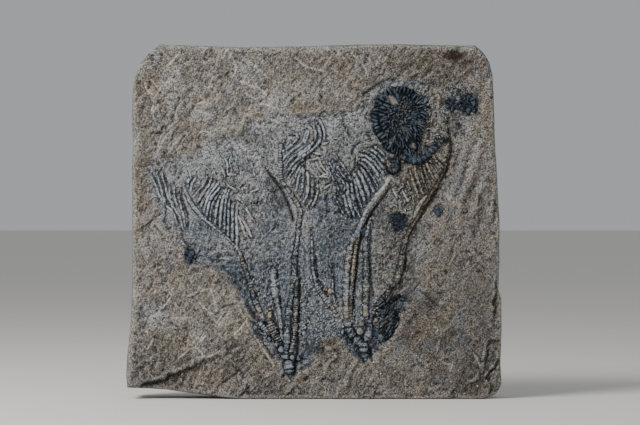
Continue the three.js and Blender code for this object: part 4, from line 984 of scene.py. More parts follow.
def chips(x, z, size, seed):
    """Facets about size millimetres across, each tilted its own way, like the scars on split stone."""
    wx = x / size + 0.35 * rough(x, z, size * 0.8, 2, seed + 3)
    wz = z / size + 0.35 * rough(z, x, size * 0.8, 2, seed + 4)
    column, row = np.floor(wx), np.floor(wz)
    nearest, found = np.full(x.shape, 9.0), np.zeros(x.shape)
    for i in (-1, 0, 1):
        for j in (-1, 0, 1):
            a, b = column + i, row + j
            dx, dz = wx - a - scatter(a, b, seed), wz - b - scatter(a, b, seed + 9)
            tilt = scatter(a, b, seed + 17) * 2 * np.pi
            level = (scatter(a, b, seed + 23) - 0.5) * 0.7 + 0.9 * (dx * np.cos(tilt) + dz * np.sin(tilt))
            away = np.hypot(dx, dz)
            found = np.where(away < nearest, level, found)
            nearest = np.minimum(nearest, away)
    return found


# The rough face: broad swells, streaks that run from the upper right to the lower left, the scars
# of chips, and grit. It is roughest at the left and the top, and smoothest at the lower right.
lean = math.radians(57)
run, streak = x * math.cos(lean) + z * math.sin(lean), z * math.cos(lean) - x * math.sin(lean)
flow = math.radians(48)
run_low, streak_low = x * math.cos(flow) + z * math.sin(flow), z * math.cos(flow) - x * math.sin(flow)
smoothness = smooth(20, 75, x) * smooth(175, 120, z)
harsh = (0.34 * lumps(streak, run / 2.4, 8, 62) + 0.5 * chips(streak, run / 1.5, 9, 160)
         + 0.24 * chips(streak, run / 1.8, 4, 170) + 0.2 * rough(streak, run / 3, 2.8, 3, 63))
soft = (0.4 * lumps(streak_low, run_low / 4, 10, 66) + 0.14 * lumps(streak_low, run_low / 4, 3.4, 67)
        + 0.2 * chips(streak_low, run_low / 2, 7, 180) + 0.14 * rough(streak_low, run_low / 3, 2.6, 3, 68))
stone = 0.35 * rough(x, z, 38, 2, 61) + harsh * (1 - smoothness) + soft * smoothness
pits = np.clip(0.26 - cells(x + 2 * lumps(x, z, 5, 165), z, 6.0, 65), 0, 1)
stone = stone - 2.4 * (pits * smooth(0.0, 0.3, lumps(x, z, 13, 66)))
ripples = np.exp(-((x - 85) / 9) ** 2 - ((z - 116) / 26) ** 2)
bands = np.sin((x * 0.93 - z * 0.36 + 2.4 * lumps(x, z, 20, 67)) / 1.3)
stone = stone * (1 - 0.5 * ripples) + ripples * 0.55 * bands
stone = np.clip(stone, -1.6, 1.1)

# The bed: pebbly with loose discs low down, and finely matted higher up.
pebbly = smooth(68, 46, z) * smooth(-42, -30, x)
pebbles = 0.5 - cells(x + 0.5 * lumps(x, z, 2.4, 68), z + 0.5 * lumps(z, x, 2.4, 69), 2.0, 69)
fall = np.radians(np.where(x < -4, -57, 72) + 14 * lumps(x, z, 22, 70))
down, aside = x * np.cos(fall) + z * np.sin(fall), z * np.cos(fall) - x * np.sin(fall)
matted = (0.55 * np.abs(lumps(aside, down / 3, 2.0, 73))
          + 0.5 * np.abs(lumps(aside, down / 2.4, 3.1, 74)) - 0.3)
rugged = smooth(-24, -34, x) * smooth(92, 78, z)
bed = (0.5 * rugged * rough(x, z, 2.6, 3, 78) + 0.16 * rough(x, z, 14, 2, 72) + pebbly * 0.5 * pebbles
       + (1 - pebbly) * matted + 0.24 * rough(x, z, 1.7, 2, 75))

# Where the bed lies, with a ragged border: crisp under the ledge at the top and faded elsewhere.
crispness = 0.85 * np.exp(-(distance(x, z, np.array(sharp_ledge), 20) / 6) ** 2)
crispness = np.maximum(crispness, 0.72 * np.exp(-(distance(x, z, np.array(plain_ledge), 20) / 6) ** 2))
faint_side = smooth(35, 60, x) * smooth(150, 125, z) * smooth(40, 60, z)
into_bed = inside(x, z, bed_outline) + 1.5 * rough(x, z, 7, 3, 75) * (1 - 0.75 * crispness)
upper_left = smooth(-10, -40, x) * smooth(100, 125, z)
fade = 6.5 - 5.6 * crispness + 5 * faint_side + 4 * upper_left
in_bed = smooth(-fade / 2, fade / 2, into_bed)
reach_of_blue = 2.5 + 9 * faint_side
blue = smooth(-reach_of_blue, 2.5, into_bed + 2.2 * rough(x, z, 5, 3, 76) * (1 - 0.6 * crispness))
blue = (blue * (1 - 0.45 * faint_side)
        + 0.22 * smooth(45, 90, x) * smooth(120, 20, z) * (0.5 + 0.5 * lumps(x, z, 16, 77)))
blue = blue + 0.5 * smooth(0.25, 0.8, rough(x, z, 12, 3, 78)) * (1 - blue) * smooth(20, 60, x)
blue = np.clip(blue + 0.35 * smooth(0.1, 0.9, rough(x, z, 9, 3, 79)) * (1 - blue) * smooth(20, -60, x), 0, 1)
tan_side = smooth(26, 36, x - 0.45 * np.clip(z - 90, 0, 60)) * smooth(44, 62, z)
blue = blue * (1 - 0.7 * tan_side * in_bed)
dry = np.clip(smooth(92, 135, z) * smooth(80, 30, x) + 0.45 * tan_side + 0.5 * upper_left, 0, 1)
height = -stone_y + stone * (1 - in_bed) + in_bed * (bed_y * -1 + bed + stone_y)

# Narrow hollows beside each fossil, painted dark as shade.
shadow = np.zeros(x.shape)
for line, widths, groove in creases:
    half = max(widths) / 2
    away = distance(x, z, line, half + 2.5)
    height -= 0.35 * groove * np.exp(-((away - half) / 0.6) ** 2)
    shadow += 0.42 * groove * np.exp(-(np.maximum(away - half + 0.2, 0) / 0.6) ** 2)
painted_shade = np.minimum(shadow, 0.9)

# Cracks and folds in the bed and the stone, painted dark inside as shade: route, half width, depth and
# darkness.
marks = [
    ([(-27, 124.6), (-22.6, 118.6), (-19, 114.2), (-16, 109.4), (-14, 104.6), (-11.6, 98.4), (-11, 95)],
     0.8, 1.3, 1.0),
    ([(-80.8, 123.4), (-82, 120.5), (-81.2, 117.5), (-80, 114), (-79, 110), (-78.2, 107), (-77.3, 104.8),
      (-75, 101.8), (-73, 99.4), (-72.6, 96.5), (-72, 94)], 0.45, 0.8, 1.0),
    ([(-79.8, 121), (-79, 118), (-77.8, 115)], 0.5, 0.6, 0.8),
    ([(-85.8, 120.4), (-84.6, 117.5), (-83, 115), (-82, 112.6)], 0.4, 0.5, 0.8),
    ([(-70.4, 112.4), (-70, 107), (-69, 104), (-68, 101), (-67.2, 98), (-66.8, 94.5), (-67.2, 92)],
     0.55, 0.8, 1.0),
    ([(-78.6, 102), (-78.8, 98), (-79.6, 94.4)], 0.8, 0.4, 0.6),
    ([(-69.8, 91), (-70, 87.6), (-68.8, 84), (-67, 81.4)], 0.6, 0.5, 0.7),
    ([(-84.4, 92), (-82.4, 89.8), (-80.6, 87.2)], 0.5, 0.4, 0.6),
    ([(-35.6, 50), (-33.4, 47), (-31.4, 43.6)], 1.3, 0.7, 0.55),
    ([(-38.6, 50.4), (-36.6, 43), (-33.6, 37)], 0.4, 0.4, 0.4),
    ([(-27, 30), (-24.8, 26.6), (-21.8, 22.4)], 0.5, 0.6, 0.7),
    ([(-48, 9), (-43.6, 12), (-39.4, 15.6)], 0.6, 0.6, 0.6),
    ([(-50.8, 47.5), (-47, 49.6), (-42.6, 50.6)], 0.4, 0.5, 0.7),
    ([(-46, 58), (-47.6, 53), (-48.4, 49)], 0.4, 0.4, 0.5),
    ([(0.9, 76), (1.2, 70), (2.6, 64), (5, 59.6), (7.4, 55.2), (6.6, 51.6)], 0.55, 0.7, 1.0),
    ([(11.2, 62), (11.2, 57), (12, 52.6), (13.2, 49.6)], 0.45, 0.5, 0.9),
    ([(21.2, 44), (21.2, 50), (21.3, 57), (22, 64), (22.7, 71), (23.6, 79), (25.4, 87)], 0.65, 0.8, 1.0),
    ([(31.6, 55), (31, 60), (30.3, 66), (30.1, 74), (29.9, 82), (30.4, 90)], 0.5, 0.6, 0.7),
    ([(26.4, 91.2), (30.2, 98.2), (34.6, 104.4), (38.6, 109.4), (41.2, 114)], 0.45, 0.5, 0.7),
    ([(-24.8, 70.2), (-22, 70.6), (-19.6, 71.4), (-18.4, 71.8), (-18.2, 75)], 0.45, 0.6, 0.9),
    ([(-22.8, 67), (-23.6, 63), (-24.5, 59), (-24.8, 55)], 0.4, 0.5, 0.8),
    ([(-19.4, 69), (-19.4, 64), (-19, 58), (-18.2, 53.4), (-17.2, 50.6)], 0.5, 0.7, 1.0),
    ([(-8.9, 24), (-8.7, 30), (-8.2, 37), (-7.8, 44), (-7.4, 50), (-7.4, 57), (-7.2, 64)], 0.7, 0.8, 0.7),
    ([(-9.8, 20.6), (-9.7, 17.6), (-10.4, 14)], 0.8, 0.7, 0.9),
    ([(-26.2, 41), (-24.9, 37.8), (-23.4, 34.6), (-21.6, 31)], 0.7, 0.6, 1.0),
    ([(-20.6, 50), (-21.4, 46.6), (-20.8, 42)], 0.4, 0.5, 0.8),
    ([(-36.4, 66), (-34.8, 61), (-33.4, 57.6)], 0.6, 0.5, 0.8),
    ([(-30, 57.4), (-28.4, 57), (-27, 58.4), (-26.8, 60.4)], 0.4, 0.5, 0.9),
    ([(-2.2, 43.4), (-3.2, 40.6), (-4.4, 38), (-3.6, 36)], 0.8, 0.5, 0.6),
    ([(-4.4, 54.4), (-3.6, 52), (-3.4, 50)], 0.5, 0.4, 0.6),
    ([(4.4, 32), (5, 28), (5.8, 23.6)], 0.4, 0.4, 0.6),
    ([(20.2, 130), (20.6, 132.6), (21.6, 134.4), (24.6, 136.8)], 0.5, 0.7, 1.0),
    ([(26.4, 133.6), (29.4, 134), (33.6, 135.4), (37, 133.4), (39.6, 131.6)], 0.7, 0.6, 0.8),
    ([(14.6, 117.2), (17.6, 119.8), (20.6, 122), (21.9, 124.6), (21.9, 128.4)], 0.45, 0.4, 0.9),
    ([(14.4, 148.4), (16.4, 145.6), (17.6, 142.6), (18.8, 140.2)], 0.55, 0.6, 0.9),
    ([(0.6, 148.6), (2.2, 147), (4, 144), (4.6, 140.6)], 0.45, 0.4, 0.8),
    ([(-43, 108.8), (-40.6, 110.8), (-38.6, 112.6), (-36.6, 114.8)], 0.5, 0.5, 0.9),
    ([(-41.6, 119.4), (-41.7, 113.6)], 0.35, 0.4, 0.8),
    ([(-34, 104.4), (-31.6, 104), (-28.6, 105.2)], 0.8, 0.5, 0.8),
    ([(-1.4, 127.4), (-2.6, 129.4), (-1.6, 131.4), (0.2, 132.6)], 0.6, 0.6, 0.9),
    ([(2.2, 135.8), (4, 133.8), (4.2, 131.8)], 0.4, 0.4, 0.9),
    ([(13, 115.2), (13.4, 112.8), (13.7, 110.2)], 0.4, 0.4, 0.8),
    ([(7, 111.4), (6.8, 107), (7, 102), (7, 98)], 0.4, 0.4, 0.7),
    ([(9.4, 112), (9.2, 108.6)], 0.4, 0.4, 0.7),
    ([(16, 104.6), (17.6, 102), (18.6, 100.2)], 0.5, 0.4, 0.8),
    ([(57, 96.4), (60.2, 102), (63.4, 107), (66.6, 111.8), (69.2, 114.6)], 0.45, 0.4, 0.5),
    ([(70.2, 120.4), (70.9, 122.4)], 0.6, 0.5, 1.0),
    ([(56.6, 116.8), (58.4, 118.2), (59.6, 120.4), (60.2, 123)], 0.45, 0.5, 0.9),
    ([(46.8, 111.2), (48, 108.4), (49.2, 105.4)], 0.5, 0.5, 0.9),
    ([(31.6, 99), (30, 96), (28.4, 93)], 0.6, 0.4, 0.6),
    ([(49.6, 100.4), (47.6, 98.8)], 0.4, 0.3, 0.7),
    ([(43.4, 45), (44.8, 42), (42.6, 38), (41, 34), (38.6, 31.8)], 0.9, 0.8, 0.9),
    ([(30.8, 20.6), (30.4, 24), (30, 27.6)], 0.7, 0.6, 0.9),
    ([(48.8, 75), (48.4, 70), (46.6, 66.6), (45.6, 62), (46.8, 59)], 0.6, 0.6, 0.9),
    ([(41, 75), (41.4, 77)], 0.6, 0.3, 0.7),
    ([(56.4, 62.6), (54.6, 60), (53, 57.6)], 0.4, 0.4, 0.6),
    ([(55.6, 58.4), (60, 55), (63, 52), (66.4, 49.6)], 0.5, 0.4, 0.5),
    ([(61.4, 139), (61.6, 146), (61.6, 153), (60.4, 160)], 0.8, 0.5, 0.35),
    ([(73.6, 134), (71.6, 143), (71.4, 147), (70.4, 151)], 1.1, 0.5, 0.35),
    ([(76, 146.6), (78.6, 145.4)], 0.5, 0.4, 0.8),
    ([(88.4, 109), (88, 106.2), (87.4, 103)], 0.5, 0.4, 0.6),
    ([(80, 105.8), (80.5, 105.6)], 0.5, 0.4, 1.0),
    ([(24.8, 160.6), (25.6, 162.4), (28.6, 163.4)], 0.5, 0.4, 0.5),
]
for points, half, depth, darkness in marks:
    away = distance(x, z, route(points, 1.5), 4)
    height -= depth * np.exp(-(away / half) ** 2)
    painted_shade = np.maximum(painted_shade, 0.85 * darkness * np.exp(-(away / (half * 1.1)) ** 2))

# Raised folds, sticks and curls that are part of the stone: route, half width and height.
folds = [
    ([(-39.4, 50.4), (-37.4, 45.4), (-34.4, 39), (-31, 33.6)], 0.8, 0.4),
    ([(-27.6, 28.6), (-24.6, 24), (-22, 19.6)], 0.7, 0.5),
    ([(-37, 49.4), (-34.6, 45.4), (-32.6, 42.4)], 1.3, 0.8),
    ([(-28.4, 123.6), (-25, 117.6), (-21.6, 112), (-18.4, 106.4), (-15.4, 100.4)], 3.4, 0.9),
    ([(14, 117.2), (16.4, 119.2), (18.9, 121.4), (20.8, 123.2), (21.1, 125.4), (20.5, 128), (19.6, 130.6),
      (18.9, 133.4)], 0.6, 1.1),
    ([(8.8, 97.2), (11.4, 100.4), (15.6, 104)], 0.5, 0.5),
    ([(22, 131.6), (25, 133), (28.4, 134.6), (32.4, 136)], 0.8, 0.5),
    ([(-18.6, 150), (-14.4, 148), (-10.6, 146), (-7, 148)], 0.8, 0.4),
    ([(66.6, 150), (66.2, 156), (66.8, 162)], 1.0, 0.4),
    ([(62.4, 141), (66, 145), (67.6, 149)], 1.4, 0.5),
    ([(57.6, 162.6), (59, 165), (59.6, 166.4)], 0.9, 0.5),
    ([(-2.6, 60), (-3.4, 72), (-3.6, 84), (-4.6, 96)], 1.6, 0.35),
    ([(-6, 66), (-6.2, 78), (-6.4, 90)], 1.2, 0.3),
    ([(-68.6, 125.4), (-74, 121), (-75.4, 116.6)], 2.6, 0.3),
    ([(73.6, 123), (74.4, 128), (75, 133.6)], 1.6, 0.4),
    ([(31.4, 161.6), (35, 165.4), (38.6, 168.4)], 2.4, 0.3),
]
# Thin folds are painted paler along their tops, as painted highlight.
pale = np.zeros(x.shape)
for points, half, lift in folds:
    away = distance(x, z, route(points, 1.5), 4)
    height += lift * np.clip(1 - (away / half) ** 2, 0, 1) ** 0.7
    pale = np.maximum(pale, smooth(half, half * 0.4, away) * (half < 1.1))

# Flakes that have broken from the edges: outline, how deep, and half the width of the step down.
# The first one is large, and fades out towards the middle of the foot.
flakes = [
    ([(-104, -4), (-20, -4), (-24, 3), (-34, 11), (-42, 18), (-50, 23), (-56, 21.6), (-62, 19), (-66, 16.7),
      (-72, 15.2), (-76.3, 13), (-81.7, 10.4), (-89.6, 8.8), (-96.5, 5.6), (-104, 4.6)], 2.3, 0.7),
    ([(104, 36), (104, 72), (97.3, 71), (96.3, 55.5), (94.7, 51), (96.3, 47.5), (94.2, 42), (97.3, 37)],
     1.7, 0.9),
    ([(73.4, -4), (104, -4), (104, 33), (93, 31.6), (92, 23.6), (90.4, 15.7), (87.3, 11.4), (80.3, 7.7),
      (73.4, 5)], 0.9, 1.0),
    ([(93.6, -4), (104, -4), (104, 20), (98.4, 20), (94.7, 15.7), (91.5, 11.4), (93.6, 6)], 1.4, 0.9),
    ([(93, 88), (104, 88), (104, 126), (97.4, 124), (96.4, 112), (96, 98)], 0.8, 0.9),
]
for number, (points, depth, step) in enumerate(flakes):
    into = inside(x, z, points, 30) + 1.1 * rough(x, z, 6, 4, 81 + number)
    if number == 0:
        strength = smooth(-34, -78, x)
        least, darkness = 0.0, 0.4
    else:
        strength = smooth(-0.5, 0.6, lumps(x, z, 11, 85))
        least, darkness = 0.35, 0.15
    height -= depth * (smooth(-step, step, into) * (least + (1 - least) * strength))
    # The foot of each step is painted darker, as shade.
    under = np.exp(-((into - step * 0.6) / 0.5) ** 2) * strength
    height -= 0.4 * under
    painted_shade = np.maximum(painted_shade, under * darkness)

# Thin layers split open along the lower left corner.
layers = smooth(-76, -86, x) * smooth(10, 8, z)
height -= layers * 0.3 * np.abs(np.sin((z - 0.08 * x) * 2.4))

# The front edge rounds off, least of all along the foot.
to_edge = distance(x, z, outline, 8)
turn_in = np.where(z < 12, 1.4, 2.8) * np.clip(0.9 + 0.9 * rough(x, z, 16, 3, 98), 0.4, 2.2)
short = np.clip(turn_in - to_edge, 0, None)
height -= turn_in - np.sqrt(np.maximum(turn_in ** 2 - short ** 2, 0))
height = np.minimum(height, -front_y - front_gap)
y = -height

# Hollows and high spots at a scale of about 3 mm, painted darker as shade in the hollows and paler as
# highlight on the highs.
level = height.copy()
for _ in range(6):
    level[1:-1, 1:-1] = (level[:-2, 1:-1] + level[2:, 1:-1] + level[1:-1, :-2] + level[1:-1, 2:]) / 4
painted_relief_light = np.clip((height - level) / 0.22, -1, 1)


def stain(spots, ragged, seed):
    """Stains that are only colour, from their middles, half sizes and strengths, with ragged borders."""
    found = np.zeros(x.shape)
    for sx, sz, rx, rz, strength in spots:
        out = np.hypot((x - sx) / rx, (z - sz) / rz) + ragged * rough(x, z, 3.4, 3, seed)
        found = np.maximum(found, strength * smooth(1.15, 0.7, out))
    return found


ink = stain([
    (82, 158, 6.8, 7, 0.7), (73, 158, 6, 6, 0.5), (74, 165, 5, 3, 0.45), (44.6, 94.8, 5.8, 5.8, 0.7),
    (-18, 104, 3, 4.6, 0.6), (-21, 109.6, 3, 4, 0.6), (-24, 115, 2.6, 4, 0.5), (-30.5, 104, 3.2, 1.0, 0.7),
    (-32.4, 89.4, 1.3, 1.2, 0.5), (51, 40.6, 1.3, 2.8, 0.7), (-62.5, 111.4, 1.8, 1.3, 0.7),
    (-66, 76, 4.2, 5, 0.85), (-67, 82.4, 3, 2, 0.7), (37, 49, 5, 5, 0.85), (38.4, 38, 5.4, 6.4, 0.85),
    (46, 53.4, 5, 2, 0.8), (41, 55, 5, 3.4, 0.6), (82.6, 161.4, 2, 1.4, 0.7), (72.4, 163, 3.6, 2.6, 0.5),
    (66, 146, 5.5, 8, 0.15), (45.7, 150, 15.8, 16.4, 0.92), (43, 134.6, 7, 5.4, 0.85),
    (54, 130.4, 6.4, 3, 0.9), (45, 128, 6, 2.4, 0.8), (62, 133, 4, 2.6, 0.85), (68, 137.2, 5, 2, 0.8),
    (43.4, 123.8, 5, 5.4, 0.8), (66, 100.5, 3.2, 3.4, 0.7), (76.4, 145.4, 2, 2.2, 0.4),
    (61, 51.6, 5.4, 3.8, 0.35), (58, 49, 3, 1.6, 0.35), (73.4, 129, 2, 7, 0.3), (72, 129, 1.2, 1.6, 0.7),
    (68.4, 107.2, 1.2, 1.4, 0.6), (64.8, 107, 1.2, 3, 0.35), (-19, 25.6, 3.4, 4, 0.5),
    (-28, 36, 4, 4.4, 0.65), (-7.6, 21.6, 3, 1.8, 0.7), (-3, 17.8, 1.6, 1.2, 0.7),
    (-13.4, 16.5, 3.6, 5.4, 0.5), (-33, 62.6, 3.4, 4, 0.55), (-43, 65, 6.6, 3.4, 0.5), (-52, 71, 6, 2, 0.3),
    (3, 26, 4, 3, 0.3), (24.4, 32.6, 5.4, 9.6, 0.4), (31.6, 35, 3.4, 6, 0.55), (33, 28, 2, 3, 0.6),
    (63, 21, 4, 3, 0.2), (92, 140.4, 2.2, 0.9, 0.4), (43, 173, 2, 1.1, 0.35), (65, 168.6, 5, 1.8, 0.2),
    (10, 86, 9, 8, 0.35), (-31, 70, 6, 8, 0.25), (-48, 63, 5, 5, 0.35), (-47.6, 119.6, 3.6, 3.2, 0.35),
    (-44, 115.6, 3, 2, 0.35), (6.6, 126.6, 1.6, 2.4, 0.5), (57, 27, 3, 3, 0.2), (28, 95, 1.6, 6, 0.3),
    (-88, 12, 12, 6, 0.2), (45, 90, 3, 7, 0.2), (47, 103.4, 4, 2, 0.4), (19.6, 54.6, 1.6, 4.6, 0.7),
    (43.4, 59.4, 3, 1.6, 0.6), (66, 108, 1, 1.2, 0.4), (88.4, 158.4, 0.8, 0.6, 0.7),
    (66.6, 162.8, 0.7, 0.8, 0.7), (65.7, 158.8, 0.7, 0.8, 0.7), (69, 168.2, 0.8, 0.8, 0.6),
    (50.6, 52, 0.8, 0.8, 0.8), (28.6, 161.6, 1.2, 1, 0.6), (-84, 92.4, 1.6, 1.2, 0.3),
    (-92, 74, 1, 1.6, 0.3),
], 0.42, 91)
rust = stain([(74.6, 183, 5, 3.4, 1.0), (81, 179.4, 3.2, 1.4, 0.6)], 0.4, 92)
ochre = stain([
    (17.5, 43, 2.2, 1.8, 1.0), (2, 157, 24, 5, 0.5), (-23.6, 47, 2, 3, 0.5), (43, 14, 9, 4, 0.5),
    (9, 31, 5, 2.2, 0.6), (-28, 20, 9, 12, 0.3), (-60, 12, 22, 7, 0.35), (85, 5, 12, 4, 0.35),
    (-92, 108, 5, 22, 0.5), (-88, 78, 9, 16, 0.4), (56, 40, 10, 14, 0.25), (54, 112, 12, 14, 0.5),
    (22.6, 74, 1.6, 16, 0.4), (-33, 45, 2.4, 4, 0.5), (53, 138, 8, 5, 0.3), (64, 148, 5, 9, 0.6),
    (66, 156, 4, 8, 0.6), (70, 60, 16, 20, 0.15), (-76, 88, 8, 4, 0.5), (58.6, 164.6, 1.6, 2, 0.4),
    (68, 178, 30, 10, 0.4), (-86, 166, 12, 14, 0.2), (-62, 144, 16, 9, 0.35), (-4, 178, 30, 8, 0.15),
    (87, 118, 2, 14, 0.35),
], 0.5, 93)
green = stain([(76.4, 187, 1.7, 0.8, 0.8)], 0.3, 94)


def clouds(spots, seed):
    """Broad clouds of colour with soft edges, which add up where they overlap."""
    found = np.zeros(x.shape)
    for sx, sz, rx, rz, strength in spots:
        out = np.hypot((x - sx) / rx, (z - sz) / rz) + 0.3 * rough(x, z, 11, 3, seed)
        found = found + strength * smooth(1.5, 0.3, out)
    return found


# Paler and darker clouds. They are partly the stone's own tone and partly painted light and shade: paler
# towards the left, darker along the foot, the top edge and the right side.
paler_tone_and_light = clouds([
    (-71, 105, 12, 10, 1.0), (-36, 121, 9, 12, 1.0), (-34, 101, 10, 13, 1.0), (-7, 108, 7, 18, 0.7),
    (-38, 126, 7, 5, 0.5), (-46, 103, 8, 12, 0.6), (-83, 43, 5, 4, 0.6), (-35, 175, 8, 8, 0.4),
    (-57, 155, 5, 5, 0.3), (-8, 100, 5, 8, 0.4), (-57, 125, 8, 6, 0.7), (-3, 147, 8, 4, 1.0),
    (5, 114, 5, 7, 0.4), (-83, 45, 6, 5, 0.7), (-24, 158, 10, 5, 0.7), (-75, 167, 5, 14, 0.5),
    (-62, 151, 5, 5, 0.5), (-50, 143, 9, 6, 0.5), (86, 127, 5, 16, 0.6), (14, 46, 6, 7, 0.7),
    (24, 35, 5, 10, 0.3), (73, 102, 5, 9, 0.4), (17, 72, 4, 16, 0.5), (-80, 88, 14, 12, 0.5),
    (4, 163, 34, 6, 0.4), (61, 113, 8, 5, 0.3), (-36, 82, 26, 8, 0.5), (29, 58, 10, 6, 0.4),
    (-4, 90, 14, 7, 0.5), (4, 54, 4, 5, 0.5), (-12, 56, 3, 12, 0.4), (62, 82, 4, 6, 0.25),
    (-90, 68, 5, 14, 0.3), (-62, 32, 6, 4, 0.3), (-50, 45, 10, 6, 0.25), (33, 112, 3, 6, 0.3),
], 240)
darker_tone_and_shade = clouds([
    (-36, 139, 7, 5, 0.5), (-43, 24, 6, 9, 0.8), (6, 27, 11, 6, 0.6), (31, 164, 8, 6, 0.4),
    (33, 145, 4, 10, 0.4), (12, 132, 5, 7, 0.5), (23, 142, 8, 8, 0.3), (73, 143, 4, 11, 0.9),
    (28.5, 97, 3, 5, 0.4), (78, 74, 6, 6, 0.5), (52, 62, 3, 14, 0.5), (84, 13, 18, 9, 0.6),
    (-86, 22, 14, 12, 0.5), (50, 42, 8, 12, 0.4), (-21, 61, 6, 4, 0.4), (66, 173, 28, 8, 0.3),
    (20, 9, 80, 5, 0.35), (90, 50, 10, 26, 0.35), (-41, 160, 5, 5, 0.2), (58, 93, 3, 6, 0.4),
    (-92, 5, 30, 7, 1.0), (96, 20, 8, 20, 0.5), (10, 0, 110, 5, 0.5), (0, 190, 110, 3, 0.6),
    (-54, 104, 4, 4, 0.3), (60, 34, 14, 8, 0.25), (-62, 70, 5, 3, 0.2), (74, 128, 3, 8, 0.3),
    (-12, 126, 6, 4, 0.2), (35, 103, 5, 7, 0.6), (15, 104, 4, 6, 0.5), (34, 66, 3, 10, 0.5),
    (45, 42, 4, 8, 0.5), (6, 32, 6, 5, 0.4), (30, 166, 8, 5, 0.5), (53, 86, 4, 10, 0.4),
    (-22, 144, 7, 5, 0.3), (88, 88, 5, 20, 0.2), (0, -1, 120, 4, 1.0), (-78, 126, 8, 5, 0.7),
    (-24, 118, 4, 7, 0.5), (14, 130, 5, 9, 0.6), (32, 101, 5, 9, 0.5), (3, 97, 4, 5, 0.6),
    (62, 49, 6, 8, 0.5), (48, 62, 6, 10, 0.35), (-66, 20, 6, 5, 0.5), (72, 31, 7, 8, 0.4),
    (-6, 27, 5, 5, 0.6), (30, 150, 7, 16, 0.4), (-36, 141, 10, 6, 0.4), (72, 118, 4, 6, 0.4),
    (80, 60, 30, 80, 0.25), (0, 22, 110, 12, 0.2), (-92, 150, 8, 40, 0.25), (65, 180, 40, 12, 0.3),
    (38, 142, 4, 6, 0.4), (-26, 139, 6, 5, 0.4), (44, 84, 9, 26, 0.4), (62, 150, 8, 16, 0.25),
    (8, 76, 14, 20, 0.15),
], 250)
wash = np.clip(paler_tone_and_light - darker_tone_and_shade + 0.2 * ripples * bands, -1, 1)

# Pale scratches, closest together on the upper left and lower left of the face.
scratch = np.zeros(x.shape)
scratch_dice = np.random.default_rng(12)
for sx, sz, rx, rz, count in [(-56, 162, 38, 24, 35), (10, 172, 50, 14, 11), (-78, 60, 18, 60, 13),
                              (-58, 40, 34, 22, 22), (-30, 10, 60, 10, 8), (60, 30, 34, 28, 9),
                              (75, 90, 18, 60, 6)]:
    for _ in range(count):
        mx, mz = sx + scratch_dice.uniform(-rx, rx), sz + scratch_dice.uniform(-rz, rz)
        way = math.radians(scratch_dice.choice([57, 52, 62, 30, -45, -52, 75]) + scratch_dice.normal(0, 7))
        long = scratch_dice.uniform(3, 9) * (2.0 if scratch_dice.uniform() < 0.3 else 1)
        bend = scratch_dice.normal(0, 0.06) * long
        line = route([(mx - math.cos(way) * long / 2, mz - math.sin(way) * long / 2),
                      (mx - math.sin(way) * bend, mz + math.cos(way) * bend),
                      (mx + math.cos(way) * long / 2, mz + math.sin(way) * long / 2)], 1.2)
        bright = scratch_dice.uniform(0.25, 1.0) ** 1.5
        scratch = np.maximum(scratch, bright * np.exp(-(distance(x, z, line, 2) / 0.5) ** 2))
known_scratches = [
    [(-67.2, 54.7), (-61, 57.4), (-54.9, 58.8)], [(-54.9, 58.8), (-53, 53), (-51.8, 46.5)],
    [(-61, 51.6), (-57.6, 48), (-53.8, 44.9)], [(-40.5, 50.6), (-34.4, 38.3), (-28, 28), (-21, 17.7)],
    [(-46.7, 48), (-49.4, 44), (-51.8, 40.3)], [(-45.2, 46.6), (-47.6, 43), (-50.4, 39)],
    [(-59.5, 36.2), (-61.6, 33), (-64.1, 30)], [(-58.6, 35), (-60.4, 31.6), (-63, 28.6)],
    [(-65.1, 29), (-60, 25), (-55.9, 19.8)], [(-85.6, 32.1), (-86.6, 29.6), (-88.2, 27)],
    [(-34.4, 44.4), (-38, 39), (-42.6, 34.2)], [(-76.4, 43.4), (-71, 43), (-65.1, 43.4)],
    [(-57, 34), (-64, 28), (-72, 21.8)], [(-51.9, 178.1), (-50.7, 183.2), (-48.5, 185.8)],
    [(-46, 186.2), (-47.4, 184), (-48.5, 181.5)], [(-44.3, 184), (-41.3, 176.4), (-43.5, 170.5)],
    [(-68.9, 184), (-71.4, 179), (-72.3, 173)], [(-90, 168.8), (-88.8, 164.6), (-85.8, 162)],
    [(-62.1, 157), (-58.7, 158), (-54.5, 157.1)], [(-61.3, 153.6), (-57.9, 152.3), (-53.6, 151)],
    [(-47.7, 152.7), (-45.4, 154.6), (-43, 156.1)], [(-40.9, 169.7), (-36.7, 168), (-30.7, 165.4)],
    [(-36.7, 162.9), (-33.6, 161), (-30.7, 159.5)], [(-33.3, 156.1), (-37.5, 148.5), (-38.4, 143.4)],
    [(-50.2, 144.2), (-47.6, 144), (-45.2, 142.5)], [(-59.6, 139.2), (-58.4, 137.8), (-57.4, 135.8)],
    [(-60.4, 142.1), (-58, 142.6), (-55.3, 141.7)], [(-53.6, 171.4), (-55, 168.4), (-56.2, 165.4)],
    [(-37.4, 181.8), (-29.2, 175.6), (-24.1, 170.5)], [(-34.4, 167.4), (-28.2, 164.9), (-22, 157.2)],
    [(-30.3, 158.2), (-25.6, 156.8), (-21, 154.6)], [(-85.6, 159.2), (-80.5, 166.9), (-76.4, 169)],
    [(-84.6, 149), (-86.2, 152.6), (-85.6, 156.2)], [(-70, 140), (-74.4, 135.4), (-78, 130)],
    [(-66, 142.6), (-70, 137), (-73, 132)], [(-76.4, 142.8), (-80.5, 136.7), (-84.6, 128.5)],
    [(-80, 176), (-75, 180), (-71, 185)], [(-10, 182), (-4, 177), (6, 174.4)],
    [(20, 184), (26, 178), (29, 172)],
]
for line in known_scratches:
    scratch = np.maximum(scratch, np.exp(-(distance(x, z, route(line, 1.2), 2) / 0.55) ** 2))
scratch = scratch * (1 - in_bed)


def border(rows, columns):
    """The numbers of the outer spots of a grid, round from its lower left corner."""
    spots = np.arange(rows * columns).reshape(rows, columns)
    return np.concatenate([spots[0], spots[1:, -1], spots[-1, -2::-1], spots[-2:0:-1, 0]])


